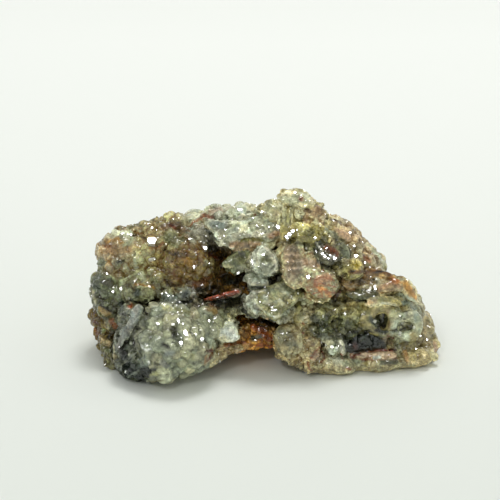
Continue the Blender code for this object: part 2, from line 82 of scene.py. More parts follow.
LOBES = (
    Lobe("left core", (-17.0, 3.4, 8.6), (8.4, 7.4, 8.4), FLAT, 0.9, "brown sugar"),
    Lobe("knob root", (-13.0, -4.0, 6.0), (7.6, 5.6, 5.4), FLAT, 0.6, "deep smoke"),
    Lobe("middle core", (-2.4, 6.4, 9.0), (11.0, 6.4, 9.2), FLAT, 0.6, "rust"),
    Lobe("crest core", (4.4, 3.4, 15.4), (6.6, 5.4, 7.8), FLAT, 0, "straw"),
    Lobe("right core", (11.2, 2.6, 8.4), (10.4, 7.0, 8.4), (0, 22, 0), 0.6, "dim green"),
    Lobe("right end core", (21.4, 0.8, 4.4), (4.6, 5.8, 4.4), FLAT, 0.6, "tan"),
    Lobe("right foot", (14.0, -3.4, 3.4), (9.8, 4.2, 3.4), FLAT, 0.6, "deep smoke"),
    Lobe("left back", (-15.4, 8.4, 7.6), (8.8, 6.2, 7.4), FLAT, 1.0, "brown sugar"),
    Lobe("middle back", (-3.5, 8.6, 9.6), (8.6, 5.8, 9.2), FLAT, 0.9, "pale green"),
    Lobe("right back", (11.4, 7.6, 7.0), (10.2, 6.0, 7.0), (0, 16, 0), 0.9, "tan"),
    Lobe("peak back", (4.8, 5.8, 19.4), (5.2, 4.2, 3.8), FLAT, 0, "straw"),
    Lobe("petal root", (-6.8, 4.4, 17.2), (4.0, 3.4, 3.0), FLAT, 0.6, "rust"),
    # left dome
    Lobe("dome upper left", (-21.95, 3.0, 15.5), (4.4, 4.8, 4.3), FLAT, 1.05, "sand"),
    Lobe("dome top", (-17.4, 2.6, 16.05), (4.9, 5.6, 4.6), FLAT, 0.95, "brown sugar"),
    Lobe("dome top right", (-14.6, 4.0, 18.9), (2.7, 3.4, 2.7), FLAT, 0.9, "brown sugar"),
    Lobe("dome left", (-22.8, 1.0, 10.8), (4.3, 5.2, 4.8), FLAT, 1.1, "smoke"),
    Lobe("dome middle", (-18.0, -0.4, 11.3), (5.4, 6.6, 5.2), FLAT, 1.0, "olive smoke"),
    Lobe("dome right", (-11.9, 0.4, 15.6), (4.8, 6.0, 4.3), FLAT, 0.8, "rusty sugar"),
    Lobe("dome right low", (-11.9, -1.8, 12.7), (4.7, 4.0, 2.0), FLAT, 0.75, "rusty sugar"),
    Lobe("dome low left", (-23.2, -0.8, 8.9), (2.9, 4.2, 2.7), FLAT, 1.1, "smoke"),
    Lobe("grey facet", (-9.9, 2.2, 19.6), (2.2, 2.4, 1.6), FLAT, 0, "grey leaf"),
    # big knob, its dark heel and the small foot beside it
    Lobe("big knob", (-14.4, -9.8, 6.7), (5.5, 6.4, 5.3), FLAT, 0.95, "pale green"),
    Lobe("big knob right", (-11.4, -9.8, 5.0), (3.5, 5.0, 4.2), FLAT, 0.85, "pale green"),
    Lobe("big knob foot", (-16.1, -11.6, 4.1), (4.1, 4.6, 3.2), FLAT, 0.95, "pale green"),
    Lobe("big knob shoulder", (-9.9, -8.0, 8.7), (3.3, 4.2, 2.4), FLAT, 0.85, "pale green"),
    Lobe("knob crown left", (-14.6, -6.6, 12.0), (1.9, 2.4, 1.4), FLAT, 0.6, "blue grey"),
    Lobe("knob crown right", (-12.0, -6.8, 12.0), (1.9, 2.2, 1.5), FLAT, 0.6, "blue grey"),
    Lobe("dark heel", (-19.8, -8.0, 3.2), (3.8, 6.0, 4.4), FLAT, 0.6, "slate"),
    Lobe("heel leaf", (-21.8, -6.6, 7.0), (1.3, 4.6, 4.4), (0, 18, 0), 0.0, "blue leaf"),
    Lobe("heel rim", (-24.3, -4.6, 1.7), (1.1, 3.4, 2.6), (0, -16, 0), 0.0, "olive"),
    Lobe("pale patch", (-5.9, -6.2, 6.3), (2.0, 2.8, 2.2), FLAT, 0, "milk"),
    Lobe("knob tail", (-6.7, -6.2, 4.2), (3.3, 3.0, 1.5), (0, -24, 0), 0, "tan flakes"),
    Lobe("left foot upper", (-25.4, 0.6, 6.2), (2.0, 3.4, 1.8), FLAT, 0.9, "amber brown"),
    Lobe("left foot lower", (-24.2, 0.4, 3.2), (2.5, 3.8, 3.2), FLAT, 0.9, "amber brown"),
    # leaves and lumps around the split
    Lobe("rust bridge", (-2.1, -3.0, 4.3), (5.0, 3.8, 2.2), FLAT, 0.6, "rust"),
    Lobe("rust lump", (-0.2, -5.0, 5.6), (2.1, 2.4, 1.5), FLAT, 0.5, "rust"),
    Lobe("split floor plate", (-5.1, -4.6, 9.6), (3.4, 3.0, 0.9), (0, -14, 0), 0.4, "dim green"),
    Lobe("red ledge", (-6.5, -4.8, 11.9), (3.1, 3.0, 0.55), (-22, -14, 0), 0.0, "red rust"),
    Lobe("back lump left", (-11.1, 7.0, 19.85), (2.3, 3.4, 2.0), FLAT, 0, "milk lumps"),
    Lobe("back lump brown", (-8.3, 5.6, 20.0), (1.9, 3.0, 2.0), FLAT, 0.7, "rose"),
    Lobe("petal crown left", (-7.0, 5.0, 20.6), (2.2, 3.2, 1.9), FLAT, 0.7, "milk lumps"),
    Lobe("petal crown", (-3.7, 4.8, 21.2), (3.0, 3.8, 2.1), FLAT, 0.7, "milk lumps"),
    Lobe("broad petal left", (-5.6, -0.8, 20.1), (3.6, 3.2, 1.1), (8, 40, 0), 0, "milk"),
    Lobe("broad petal web", (-6.2, 2.0, 20.2), (2.6, 3.4, 1.6), FLAT, 0, "milk"),
    Lobe("broad petal", (-1.5, -0.6, 21.0), (4.4, 3.2, 1.3), (30, 8, 0), 0, "milk"),
    Lobe("broad petal lip", (-0.2, -2.6, 20.2), (2.9, 1.9, 0.9), (18, -8, 0), 0, "rose"),
    Lobe("pointed petal", (-3.7, -3.4, 17.0), (2.9, 2.3, 0.8), (16, -10, 0), 0, "olive leaf"),
    # glassy column, pink lumps and the peak
    Lobe("glassy upper", (-0.1, -4.2, 17.3), (2.5, 3.4, 2.4), FLAT, 0, "glassy"),
    Lobe("glassy middle", (-0.7, -4.6, 13.7), (2.2, 2.6, 1.5), FLAT, 0, "glassy"),
    Lobe("glassy lower", (1.4, -5.4, 11.5), (4.0, 3.6, 3.0), FLAT, 0, "glassy"),
    Lobe("glassy corner", (-1.5, -6.4, 10.9), (1.6, 2.4, 1.5), FLAT, 0, "glassy"),
    Lobe("glassy foot", (3.1, -6.6, 9.8), (2.0, 2.6, 1.6), FLAT, 0, "glassy"),
    Lobe("glassy side", (3.5, -5.4, 13.2), (2.2, 2.8, 1.8), FLAT, 0, "dim green"),
    Lobe("pink upper", (4.2, -4.2, 17.3), (2.3, 3.4, 3.6), FLAT, 0, "rose"),
    Lobe("pink middle", (7.1, -4.0, 17.2), (1.9, 3.2, 2.4), FLAT, 0, "rose"),
    Lobe("pink lower", (9.3, -5.4, 14.2), (2.7, 3.0, 2.1), FLAT, 0, "rose"),
    Lobe("pink foot", (6.4, -5.2, 12.9), (2.3, 2.6, 1.7), FLAT, 0, "rose"),
    Lobe("peak", (5.0, 2.0, 24.2), (3.2, 4.2, 2.4), FLAT, 0, "straw"),
    Lobe("peak left", (1.4, 1.6, 23.1), (2.3, 3.6, 2.1), FLAT, 0, "straw"),
    Lobe("peak right", (7.8, 2.0, 22.7), (2.1, 3.4, 1.9), FLAT, 0, "straw"),
    Lobe("peak front", (6.1, -0.8, 21.6), (3.5, 3.6, 2.4), FLAT, 0, "citrine"),
    Lobe("rib left", (3.1, -2.6, 22.4), (0.6, 1.6, 2.3), (0, 4, 0), 0.0, "straw"),
    Lobe("rib right", (4.4, -3.0, 22.6), (0.6, 1.6, 2.3), (0, -4, 0), 0.0, "straw"),
    # right shoulder, ledge and end, and what lies in front of them
    Lobe("shoulder first", (11.8, 2.4, 19.2), (3.2, 4.4, 2.1), (0, 20, 0), 0.85, "dusty pink"),
    Lobe("shoulder second", (14.0, 2.6, 17.3), (2.0, 4.0, 1.8), FLAT, 0.8, "dusty pink"),
    Lobe("shoulder third", (16.0, 2.6, 15.6), (1.8, 3.8, 1.5), FLAT, 0.8, "dusty pink"),
    Lobe("shoulder fourth", (17.6, 2.2, 13.5), (1.9, 4.0, 1.7), FLAT, 0.7, "milk lumps"),
    Lobe("shoulder face", (12.9, -1.8, 16.0), (3.0, 3.4, 1.8), (0, 20, 0), 0.8, "dim green"),
    Lobe("yellow lump", (14.4, -4.4, 16.4), (1.1, 1.4, 1.1), FLAT, 0, "citrine"),
    Lobe("eye floor", (9.4, -2.4, 17.0), (2.3, 2.6, 2.3), FLAT, 0, "dim green"),
    Lobe("eye rim", (10.5, -2.4, 19.8), (2.2, 1.6, 0.7), (0, 38, 0), 0, "dim green"),
    Lobe("ledge", (16.6, -1.8, 12.2), (5.1, 4.2, 1.2), (0, 3, 0), 0.6, "brown sugar"),
    Lobe("ledge end", (21.2, -0.8, 11.1), (2.7, 3.6, 1.2), (0, 10, 0), 0.7, "amber"),
    Lobe("ledge ridge", (19.9, -4.4, 13.0), (3.1, 1.7, 0.7), (0, 2, 0), 0, "dusty pink"),
    Lobe("end upper", (23.75, 0.4, 7.6), (1.3, 3.4, 1.9), FLAT, 0.7, "milk lumps"),
    Lobe("end middle", (25.35, 0.0, 4.4), (1.9, 4.0, 2.0), FLAT, 0, "tan"),
    Lobe("end lower", (25.35, -1.0, 1.4), (2.6, 4.4, 2.2), FLAT, 0, "tan"),
    Lobe("swirl root", (20.6, -2.4, 6.6), (4.2, 3.6, 3.8), FLAT, 0.6, "deep smoke"),
    Lobe("swirl brow", (19.0, -4.4, 10.3), (2.9, 2.4, 0.9), (0, 6, 0), 0, "citrine"),
    Lobe("saddle", (6.4, -5.6, 9.0), (1.9, 3.0, 2.5), FLAT, 0, "straw"),
    Lobe("middle knob upper left", (9.4, -5.6, 9.3), (2.0, 2.8, 1.7), FLAT, 0.7, "dim green"),
    Lobe("middle knob upper right", (13.5, -5.0, 9.6), (3.0, 2.8, 1.7), FLAT, 0.7, "dim green"),
    Lobe("middle knob lower left", (8.9, -6.4, 6.4), (2.4, 2.8, 1.5), FLAT, 0.6, "deep smoke"),
    Lobe("middle knob lower right", (13.6, -5.6, 6.9), (2.4, 2.8, 1.6), FLAT, 0.6, "deep smoke"),
    Lobe("middle knob bottom", (11.1, -7.2, 4.6), (1.9, 2.6, 1.7), FLAT, 0.6, "glassy"),
    Lobe("grey lump", (4.8, -7.0, 4.6), (3.5, 3.6, 3.4), FLAT, 0, "tan flakes"),
    Lobe("grey lump foot", (7.5, -8.8, 2.2), (2.0, 2.4, 1.9), FLAT, 0, "tan flakes"),
    Lobe("rim left", (11.1, -7.6, 1.5), (4.2, 2.8, 1.9), FLAT, 0, "rim"),
    Lobe("rim middle", (17.2, -6.4, 1.4), (5.4, 3.0, 1.8), FLAT, 0, "rim"),
    Lobe("rim right", (22.8, -4.0, 1.3), (4.6, 3.8, 1.9), (0, -3, 0), 0, "rim"),
    # rear
    Lobe("rear foot left", (-14.0, 11.4, 1.8), (6.0, 3.4, 2.6), FLAT, 0.8, "smoke"),
    Lobe("rear foot middle", (0.0, 12.2, 1.6), (5.6, 3.2, 2.4), FLAT, 0.8, "tan"),
    Lobe("rear foot right", (12.6, 11.2, 1.8), (5.6, 3.2, 2.6), FLAT, 0.8, "smoke"),
    Lobe("rear leaf low left", (-13.0, 12.2, 4.6), (7.6, 5.0, 1.4), (24, 0, 14), 0.8, "olive smoke"),
    Lobe("rear leaf low middle", (-1.0, 13.2, 4.0), (7.6, 4.6, 1.5), (22, 0, 0), 0, "pale green"),
    Lobe("rear leaf low right", (11.6, 12.2, 3.8), (8.0, 4.6, 1.4), (22, 4, -14), 0.8, "tan"),
    Lobe("rear leaf middle left", (-17.2, 11.2, 9.8), (6.0, 4.6, 1.3), (32, -6, 20), 0.6, "brown sugar"),
    Lobe("rear leaf middle", (-5.6, 12.6, 9.8), (6.6, 4.2, 1.3), (32, 0, -4), 0, "milk"),
    Lobe("rear leaf middle right", (6.4, 12.2, 9.2), (6.6, 4.4, 1.3), (30, 8, -8), 0, "pale green"),
    Lobe("rear leaf high", (-0.6, 10.8, 14.8), (6.2, 3.8, 1.2), (38, -6, 0), 0, "rose"),
    Lobe("rear leaf high left", (-10.6, 10.6, 14.4), (4.8, 3.8, 1.2), (36, -10, 10), 0.6, "olive smoke"),
    Lobe("rear leaf shoulder", (12.0, 9.8, 12.8), (5.4, 4.0, 1.2), (30, 24, -10), 0, "dusty pink"),
    Lobe("rear leaf end", (20.2, 7.8, 5.6), (5.0, 4.6, 1.3), (22, 20, -40), 0, "tan"),
)

# Open space between the lobes. A turn of SIGHT_PITCH leads a hollow down into the stone.
Hollow = namedtuple("Hollow", "name at size turn")
SIGHT_PITCH = -22
HOLLOWS = (
    Hollow("black hole", (-4.5, -3.0, 14.0), (2.0, 6.4, 1.3), (SIGHT_PITCH, 4, 0)),
    Hollow("upper hole", (-7.0, -2.2, 18.0), (1.9, 4.8, 1.1), (SIGHT_PITCH, 8, 0)),
    Hollow("channel", (-6.8, -5.2, 12.6), (3.9, 4.2, 0.6), (SIGHT_PITCH, -14, 0)),
    Hollow("under the glassy lobe", (-0.4, -6.6, 8.0), (3.4, 4.4, 0.7), (SIGHT_PITCH, 14, 0)),
    Hollow("glassy pit", (2.1, -7.4, 16.0), (0.9, 2.6, 0.6), (SIGHT_PITCH, 0, 0)),
    Hollow("under the pink lobe", (9.8, -7.2, 12.0), (2.1, 3.0, 0.5), (SIGHT_PITCH, -22, 0)),
    Hollow("dark recess", (16.4, -8.4, 5.7), (3.2, 2.4, 1.2), (SIGHT_PITCH, 0, 0)),
    Hollow("crack", (17.1, -8.8, 4.1), (3.9, 3.4, 0.5), (SIGHT_PITCH, -3, 0)),
    Hollow("left crevice", (-23.5, -3.4, 8.0), (1.9, 3.2, 0.5), (SIGHT_PITCH, 14, 0)),
    Hollow("behind the knob", (-17.9, -6.6, 11.8), (4.6, 3.0, 0.5), (SIGHT_PITCH, -6, 0)),
    Hollow("heel groove", (-20.9, -12.6, 5.6), (0.5, 2.8, 3.0), (SIGHT_PITCH, 14, 0)),
    Hollow("swirl eye left", (18.9, -7.2, 8.0), (0.8, 3.0, 1.7), (SIGHT_PITCH, 0, 0)),
    Hollow("swirl eye right", (22.0, -7.0, 7.4), (0.8, 2.6, 0.8), (SIGHT_PITCH, 0, 0)),
    Hollow("knob pit right", (-13.8, -16.4, 5.4), (0.8, 1.8, 0.8), (SIGHT_PITCH, 0, 0)),
    Hollow("knob pit left", (-15.5, -16.6, 3.6), (0.8, 1.6, 0.6), (SIGHT_PITCH, 20, 0)),
    Hollow("arch", (-0.4, -9.0, 0.2), (6.2, 11.0, 2.9), (0, 0, -6)),
    Hollow("underside", (-1.0, 2.0, -0.6), (12.5, 7.5, 2.4), FLAT),
    Hollow("left underside", (-19.0, -3.0, -0.8), (3.6, 2.6, 1.7), FLAT),
)

# The swirl at the right end: two rolls of chalcedony, curled like a shell.
Ring = namedtuple("Ring", "name at radius thickness finish")
RINGS = (
    Ring("swirl left", (18.5, -6.3, 8.3), 2.1, 0.95, "yellow roll"),
    Ring("swirl right", (22.6, -6.3, 7.2), 1.8, 0.85, "pale roll"),
)
RING_STEPS = 32
RING_FADE = 0.3 * MM

BODY_VOXEL = 0.34 * MM  # grid on which the lobes grow together
BODY_SOFTENING = 2
LOBE_FACETS = 34
TABLE_CUT = 12 * MM


def lobe_matrix(lobe):
    """The matrix that makes a unit sphere into a lobe."""
    turned = Euler([math.radians(angle) for angle in lobe.turn])
    return Matrix.LocRotScale(Vector(lobe.at) * MM, turned, Vector(lobe.size) * MM)


def add_ellipsoid(shell, matrix, detail):
    bmesh.ops.create_icosphere(shell, subdivisions=detail, radius=1.0, matrix=matrix)


def add_rough_lobe(shell, matrix, chance):
    """An ellipsoid with broad flat facets, as crystal growth leaves them."""
    lump = bmesh.new()
    bmesh.ops.create_icosphere(lump, subdivisions=3, radius=1.0)
    facets = chance.normal(0, 1, (LOBE_FACETS, 3))
    facets /= np.linalg.norm(facets, axis=1)[:, None]
    cut_depth = chance.uniform(0.84, 1.02, LOBE_FACETS)
    for vertex in lump.verts:
        reach = facets @ np.array(vertex.co)
        vertex.co *= min(1.05, (cut_depth / np.maximum(reach, 0.05)).min())
    bmesh.ops.transform(lump, matrix=matrix, verts=lump.verts)
    placed = bpy.data.meshes.new("lump")
    lump.to_mesh(placed)
    lump.free()
    shell.from_mesh(placed)
    bpy.data.meshes.remove(placed)


def new_object(name, shell):
    mesh = bpy.data.meshes.new(name)
    shell.to_mesh(mesh)
    shell.free()
    made = bpy.data.objects.new(name, mesh)
    bpy.context.scene.collection.objects.link(made)
    return made


def settle(target):
    """Replaces the object's mesh with the one its modifiers make."""
    graph = bpy.context.evaluated_depsgraph_get()
    finished = bpy.data.meshes.new_from_object(target.evaluated_get(graph))
    target.modifiers.clear()
    target.data = finished


def grow_together(target, voxel):
    remesh = target.modifiers.new("fuse", "REMESH")
    remesh.mode = "VOXEL"
    remesh.voxel_size = voxel
    remesh.adaptivity = 0
    settle(target)


def soften(target, passes, factor=0.5):
    smooth = target.modifiers.new("soften", "SMOOTH")
    smooth.factor = factor
    smooth.iterations = passes
    settle(target)


def cut_away(target, cutter):
    boolean = target.modifiers.new("cut", "BOOLEAN")
    boolean.operation = "DIFFERENCE"
    boolean.solver = "EXACT"
    boolean.object = cutter
    settle(target)
    bpy.data.objects.remove(cutter)


shell = bmesh.new()
chance = np.random.default_rng(3)
for lobe in LOBES:
    add_rough_lobe(shell, lobe_matrix(lobe), chance)
for ring in RINGS:
    for step in range(RING_STEPS):
        angle = 2 * math.pi * step / RING_STEPS
        spoke = Vector((math.cos(angle), 0, math.sin(angle))) * ring.radius
        place = Matrix.Translation((Vector(ring.at) + spoke) * MM)
        add_ellipsoid(shell, place @ Matrix.Scale(ring.thickness * MM, 4), 3)
body = new_object("body", shell)
grow_together(body, BODY_VOXEL)

shell = bmesh.new()
for hollow in HOLLOWS:
    add_ellipsoid(shell, lobe_matrix(hollow), 4)
hollows = new_object("hollows", shell)
grow_together(hollows, BODY_VOXEL)
cut_away(body, hollows)
grow_together(body, BODY_VOXEL)
soften(body, BODY_SOFTENING)


def vertex_array(mesh):
    flat = np.empty(len(mesh.vertices) * 3, np.float32)
    mesh.vertices.foreach_get("co", flat)
    return flat.reshape(-1, 3).astype(float)


# The plates and leaves
# Thin translucent plates lie over the lobes. Each is drawn by its outline as the picture shows it,
# in pixels, set on the body behind it, leant back and swung sideways by degrees, and domed.
Plate = namedtuple("Plate", "name outline lean swing lift bulge finish")
PLATE_DEPTH = 0.9 * MM
PLATE_SEAT = 0.7  # which of the body's points behind it a plate rests on: 0 the deepest, 1 the nearest
PLATES = (
    Plate("broad petal", ((205, 223), (212, 219), (226, 220), (242, 221), (256, 216), (266, 214), (275, 216), (280, 224), (279, 231), (274, 239), (263, 241), (252, 238), (242, 241), (232, 250), (222, 241), (212, 231)), 30, -8, 0.3, 0.5, "milk"),
    Plate("petal fold", ((232, 250), (238, 243), (248, 239), (258, 240), (264, 246), (256, 249), (246, 249), (238, 251)), -15, 0, 0.1, 0.3, "petal fold"),
    Plate("pointed petal", ((222, 267), (227, 259), (234, 253), (243, 250), (252, 250), (254, 262), (250, 270), (240, 270), (231, 269)), 5, 20, 0.2, 0.4, "olive leaf"),
    Plate("glassy upper", ((250, 257), (254, 250), (262, 246), (270, 249), (276, 256), (279, 265), (276, 273), (267, 276), (257, 273), (251, 267)), 5, 0, 0.2, 1.0, "glassy"),
    Plate("glassy middle", ((246, 275), (256, 272), (266, 276), (270, 284), (262, 289), (252, 287), (247, 282)), 10, 0, 0.2, 0.7, "glassy"),
    Plate("glassy lower left", ((245, 303), (247, 296), (253, 291), (261, 291), (266, 297), (266, 306), (262, 314), (254, 313), (248, 308)), 5, -15, 0.3, 0.7, "glassy"),
    Plate("glassy lower", ((258, 296), (264, 288), (273, 284), (284, 280), (294, 282), (300, 289), (299, 299), (292, 306), (284, 314), (276, 320), (268, 316), (260, 309)), 10, 10, 0.2, 0.8, "glassy green"),
    Plate("pink slab", ((281, 262), (283, 250), (290, 243), (298, 239), (304, 245), (307, 256), (311, 264), (309, 276), (302, 287), (292, 289), (284, 281)), 8, 8, 0.2, 0.6, "rose"),
    Plate("pink corner", ((304, 258), (312, 255), (319, 260), (321, 268), (314, 274), (306, 272)), 10, 15, 0.2, 0.4, "rose"),
    Plate("pink disc", ((302, 284), (308, 275), (318, 271), (328, 270), (336, 276), (339, 285), (336, 293), (328, 298), (316, 296), (306, 292)), 15, 15, 0.2, 0.6, "pink disc"),
    Plate("amber plate", ((306, 292), (316, 289), (328, 292), (332, 298), (324, 303), (312, 301)), 30, 5, 0.1, 0.2, "amber"),
    Plate("peak top", ((277, 199), (283, 193), (290, 189), (300, 190), (309, 193), (315, 201), (312, 207), (300, 209), (288, 206)), 25, 0, 0.0, 0.8, "straw"),
    Plate("peak left", ((261, 209), (266, 202), (276, 200), (284, 204), (285, 214), (280, 222), (270, 220), (263, 215)), 20, -15, 0.1, 0.6, "straw"),
    Plate("peak right", ((300, 209), (310, 206), (320, 207), (326, 216), (322, 224), (312, 226), (303, 221)), 20, 15, 0.1, 0.6, "dusty straw"),
    Plate("rib left", ((277, 210), (280, 209), (282, 218), (281, 229), (278, 228)), 0, -20, 0.5, 0.3, "straw"),
    Plate("rib middle", ((283, 208), (286, 208), (287, 218), (285, 227), (283, 222)), 0, 0, 0.6, 0.3, "straw"),
    Plate("rib right", ((289, 209), (292, 209), (293, 217), (291, 225), (289, 220)), 0, 20, 0.5, 0.3, "straw"),
    Plate("yellow zone", ((281, 224), (292, 222), (304, 224), (316, 226), (321, 234), (316, 242), (304, 243), (294, 239), (284, 241), (281, 234)), 10, 5, 0.1, 0.6, "citrine"),
    Plate("heel leaf", ((139, 304), (144, 308), (139, 320), (132, 332), (125, 342), (120, 350), (117, 344), (121, 332), (127, 320), (133, 309)), 0, -30, 0.5, 0.2, "blue leaf"),
    Plate("pale patch", ((216, 333), (221, 324), (230, 321), (236, 327), (239, 338), (232, 341), (222, 340)), 5, 5, 0.2, 0.5, "white milk"),
    Plate("knob tail", ((208, 368), (207, 360), (214, 352), (228, 346), (240, 345), (243, 350), (232, 355), (220, 362)), 0, 10, 0.2, 0.4, "tan flakes"),
    Plate("split floor", ((205, 304), (215, 299), (228, 295), (242, 294), (249, 300), (246, 308), (236, 315), (224, 314), (214, 309)), 25, 0, 0.1, 0.3, "dark green"),
    Plate("red ledge", ((203, 299), (214, 296), (226, 292), (238, 289), (240, 293), (228, 296), (215, 299), (205, 301)), 0, 0, 0.3, 0.2, "red rust"),
    Plate("upper layer", ((343, 268), (360, 269), (375, 269), (388, 272), (397, 278), (388, 281), (372, 279), (355, 278), (345, 276)), 5, 10, 0.4, 0.4, "brown layer"),
    Plate("middle layer", ((341, 279), (358, 279), (372, 281), (378, 287), (368, 291), (352, 290), (343, 286)), 0, 10, 0.2, 0.4, "brown layer"),
    Plate("lower layer", ((345, 293), (358, 291), (370, 292), (378, 296), (366, 299), (352, 299)), 0, 0, 0.2, 0.3, "dark green"),
    Plate("ledge ridge", ((376, 287), (384, 283), (394, 281), (402, 284), (401, 290), (390, 292), (380, 291)), 10, 10, 0.4, 0.3, "dusty straw"),
    Plate("ledge end", ((392, 279), (400, 278), (409, 280), (415, 289), (417, 300), (408, 300), (402, 292), (398, 284)), 10, 30, 0.1, 0.5, "amber"),
    Plate("swirl brow", ((364, 305), (371, 298), (384, 296), (396, 298), (402, 304), (394, 306), (382, 304), (372, 308)), 20, 5, 0.4, 0.3, "straw"),
    # A near-black sheet laid in the recess: painted shade.
    Plate("recess floor", ((345, 336), (360, 333), (375, 334), (386, 338), (384, 347), (368, 350), (350, 351), (344, 345)), 0, 0, 0.0, 0.2, "recess shade"),
    Plate("cream edge", ((352, 355), (362, 353), (378, 352), (392, 352), (398, 356), (390, 359), (374, 358), (360, 358)), 20, 0, 0.3, 0.3, "cream"),
    Plate("grey lump", ((273, 333), (280, 326), (290, 324), (299, 330), (302, 342), (298, 354), (288, 358), (278, 350), (272, 341)), 5, -5, 0.2, 0.8, "grey tan"),
    Plate("pink heel", ((300, 342), (310, 338), (320, 345), (318, 358), (308, 363), (300, 356)), 0, 5, 0.1, 0.4, "tan flakes"),
    Plate("eye arc", ((338, 239), (344, 243), (349, 252), (348, 263), (343, 268), (340, 262), (341, 252), (337, 245)), 0, 20, 0.4, 0.3, "dark green"),
    Plate("eye pearl", ((302, 243), (308, 240), (314, 243), (314, 250), (308, 254), (303, 250)), 10, 0, 0.2, 0.6, "glassy green"),
    Plate("eye bowl", ((316, 244), (324, 240), (334, 245), (340, 253), (338, 262), (328, 264), (319, 257)), 10, 10, 0.0, 0.3, "dark green"),
    Plate("eye rim", ((313, 247), (317, 243), (321, 250), (326, 258), (336, 262), (331, 266), (321, 264), (315, 257)), 0, 10, 0.3, 0.3, "dark green"),
)


def ray_meets_plane(pixel, normal, offset):
    """Where the camera's line through a pixel meets the plane of points p with normal . p = offset."""
    line = sight_line(*pixel)
    return eye + line * ((offset - normal.dot(eye)) / normal.dot(line))


def rounded_outline(outline, steps):
    """The outline with steps points on each side, on a smooth curve through its corners."""
    corners = [np.array(corner, float) for corner in outline]
    curve = []
    for i in range(len(corners)):
        before, start, end, after = (corners[(i + k) % len(corners)] for k in (-1, 0, 1, 2))
        for step in range(steps):
            t = step / steps
            bend = (2 * before - 5 * start + 4 * end - after) * t + (3 * start - before - 3 * end + after) * t * t
            curve.append(start + 0.5 * t * ((end - before) + bend))
    return curve


def add_plate(shell, plate, skin_tree):
    """Adds a domed plate, seated on the skin that the camera sees behind it."""
    turn = Euler((math.radians(-plate.lean), 0, math.radians(plate.swing)))
    normal = -sight.copy()
    normal.rotate(turn)
    outline = rounded_outline(plate.outline, 3)
    middle = sum(outline) / len(outline)
    offsets = []
    for share in (0.0, 0.35, 0.7):
        for corner in outline[::3]:
            hit = skin_tree.ray_cast(eye, sight_line(*(middle + (corner - middle) * share)))[0]
            if hit is not None:
                offsets.append(normal.dot(hit))
    offset = float(np.quantile(offsets, PLATE_SEAT)) + plate.lift * MM
    rings = []
    for share, height in ((0.5, 1.0), (0.85, 0.7), (1.0, 0.1)):
        rings.append([ray_meets_plane(middle + (corner - middle) * share, normal, offset + height * plate.bulge * MM) for corner in outline])
    for share, depth in ((0.97, 0.5), (0.6, 1.0)):
        rings.append([ray_meets_plane(middle + (corner - middle) * share, normal, offset - depth * PLATE_DEPTH) for corner in outline])
    loops = [[shell.verts.new(point) for point in ring] for ring in rings]
    front = shell.verts.new(ray_meets_plane(middle, normal, offset + plate.bulge * MM))
    back = shell.verts.new(ray_meets_plane(middle, normal, offset - PLATE_DEPTH))
    sides = len(outline)
    for i in range(sides):
        after = (i + 1) % sides
        shell.faces.new((front, loops[0][i], loops[0][after]))
        shell.faces.new((back, loops[-1][after], loops[-1][i]))
        for inner, outer in zip(loops, loops[1:]):
            shell.faces.new((inner[i], outer[i], outer[after], inner[after]))


body.data.transform(Matrix.Translation(BODY_SHIFT))
skin_tree = BVHTree.FromObject(body, bpy.context.evaluated_depsgraph_get())
all_plates = bmesh.new()
plate_trees = []
for plate in PLATES:
    shell = bmesh.new()
    add_plate(shell, plate, skin_tree)
    bmesh.ops.recalc_face_normals(shell, faces=shell.faces)
    bmesh.ops.triangulate(shell, faces=shell.faces)
    plate_trees.append(BVHTree.FromBMesh(shell))
    placed = bpy.data.meshes.new("plate")
    shell.to_mesh(placed)
    shell.free()
    all_plates.from_mesh(placed)
    bpy.data.meshes.remove(placed)
plates = new_object("plates", all_plates)
every_plate = BVHTree.FromObject(plates, bpy.context.evaluated_depsgraph_get())
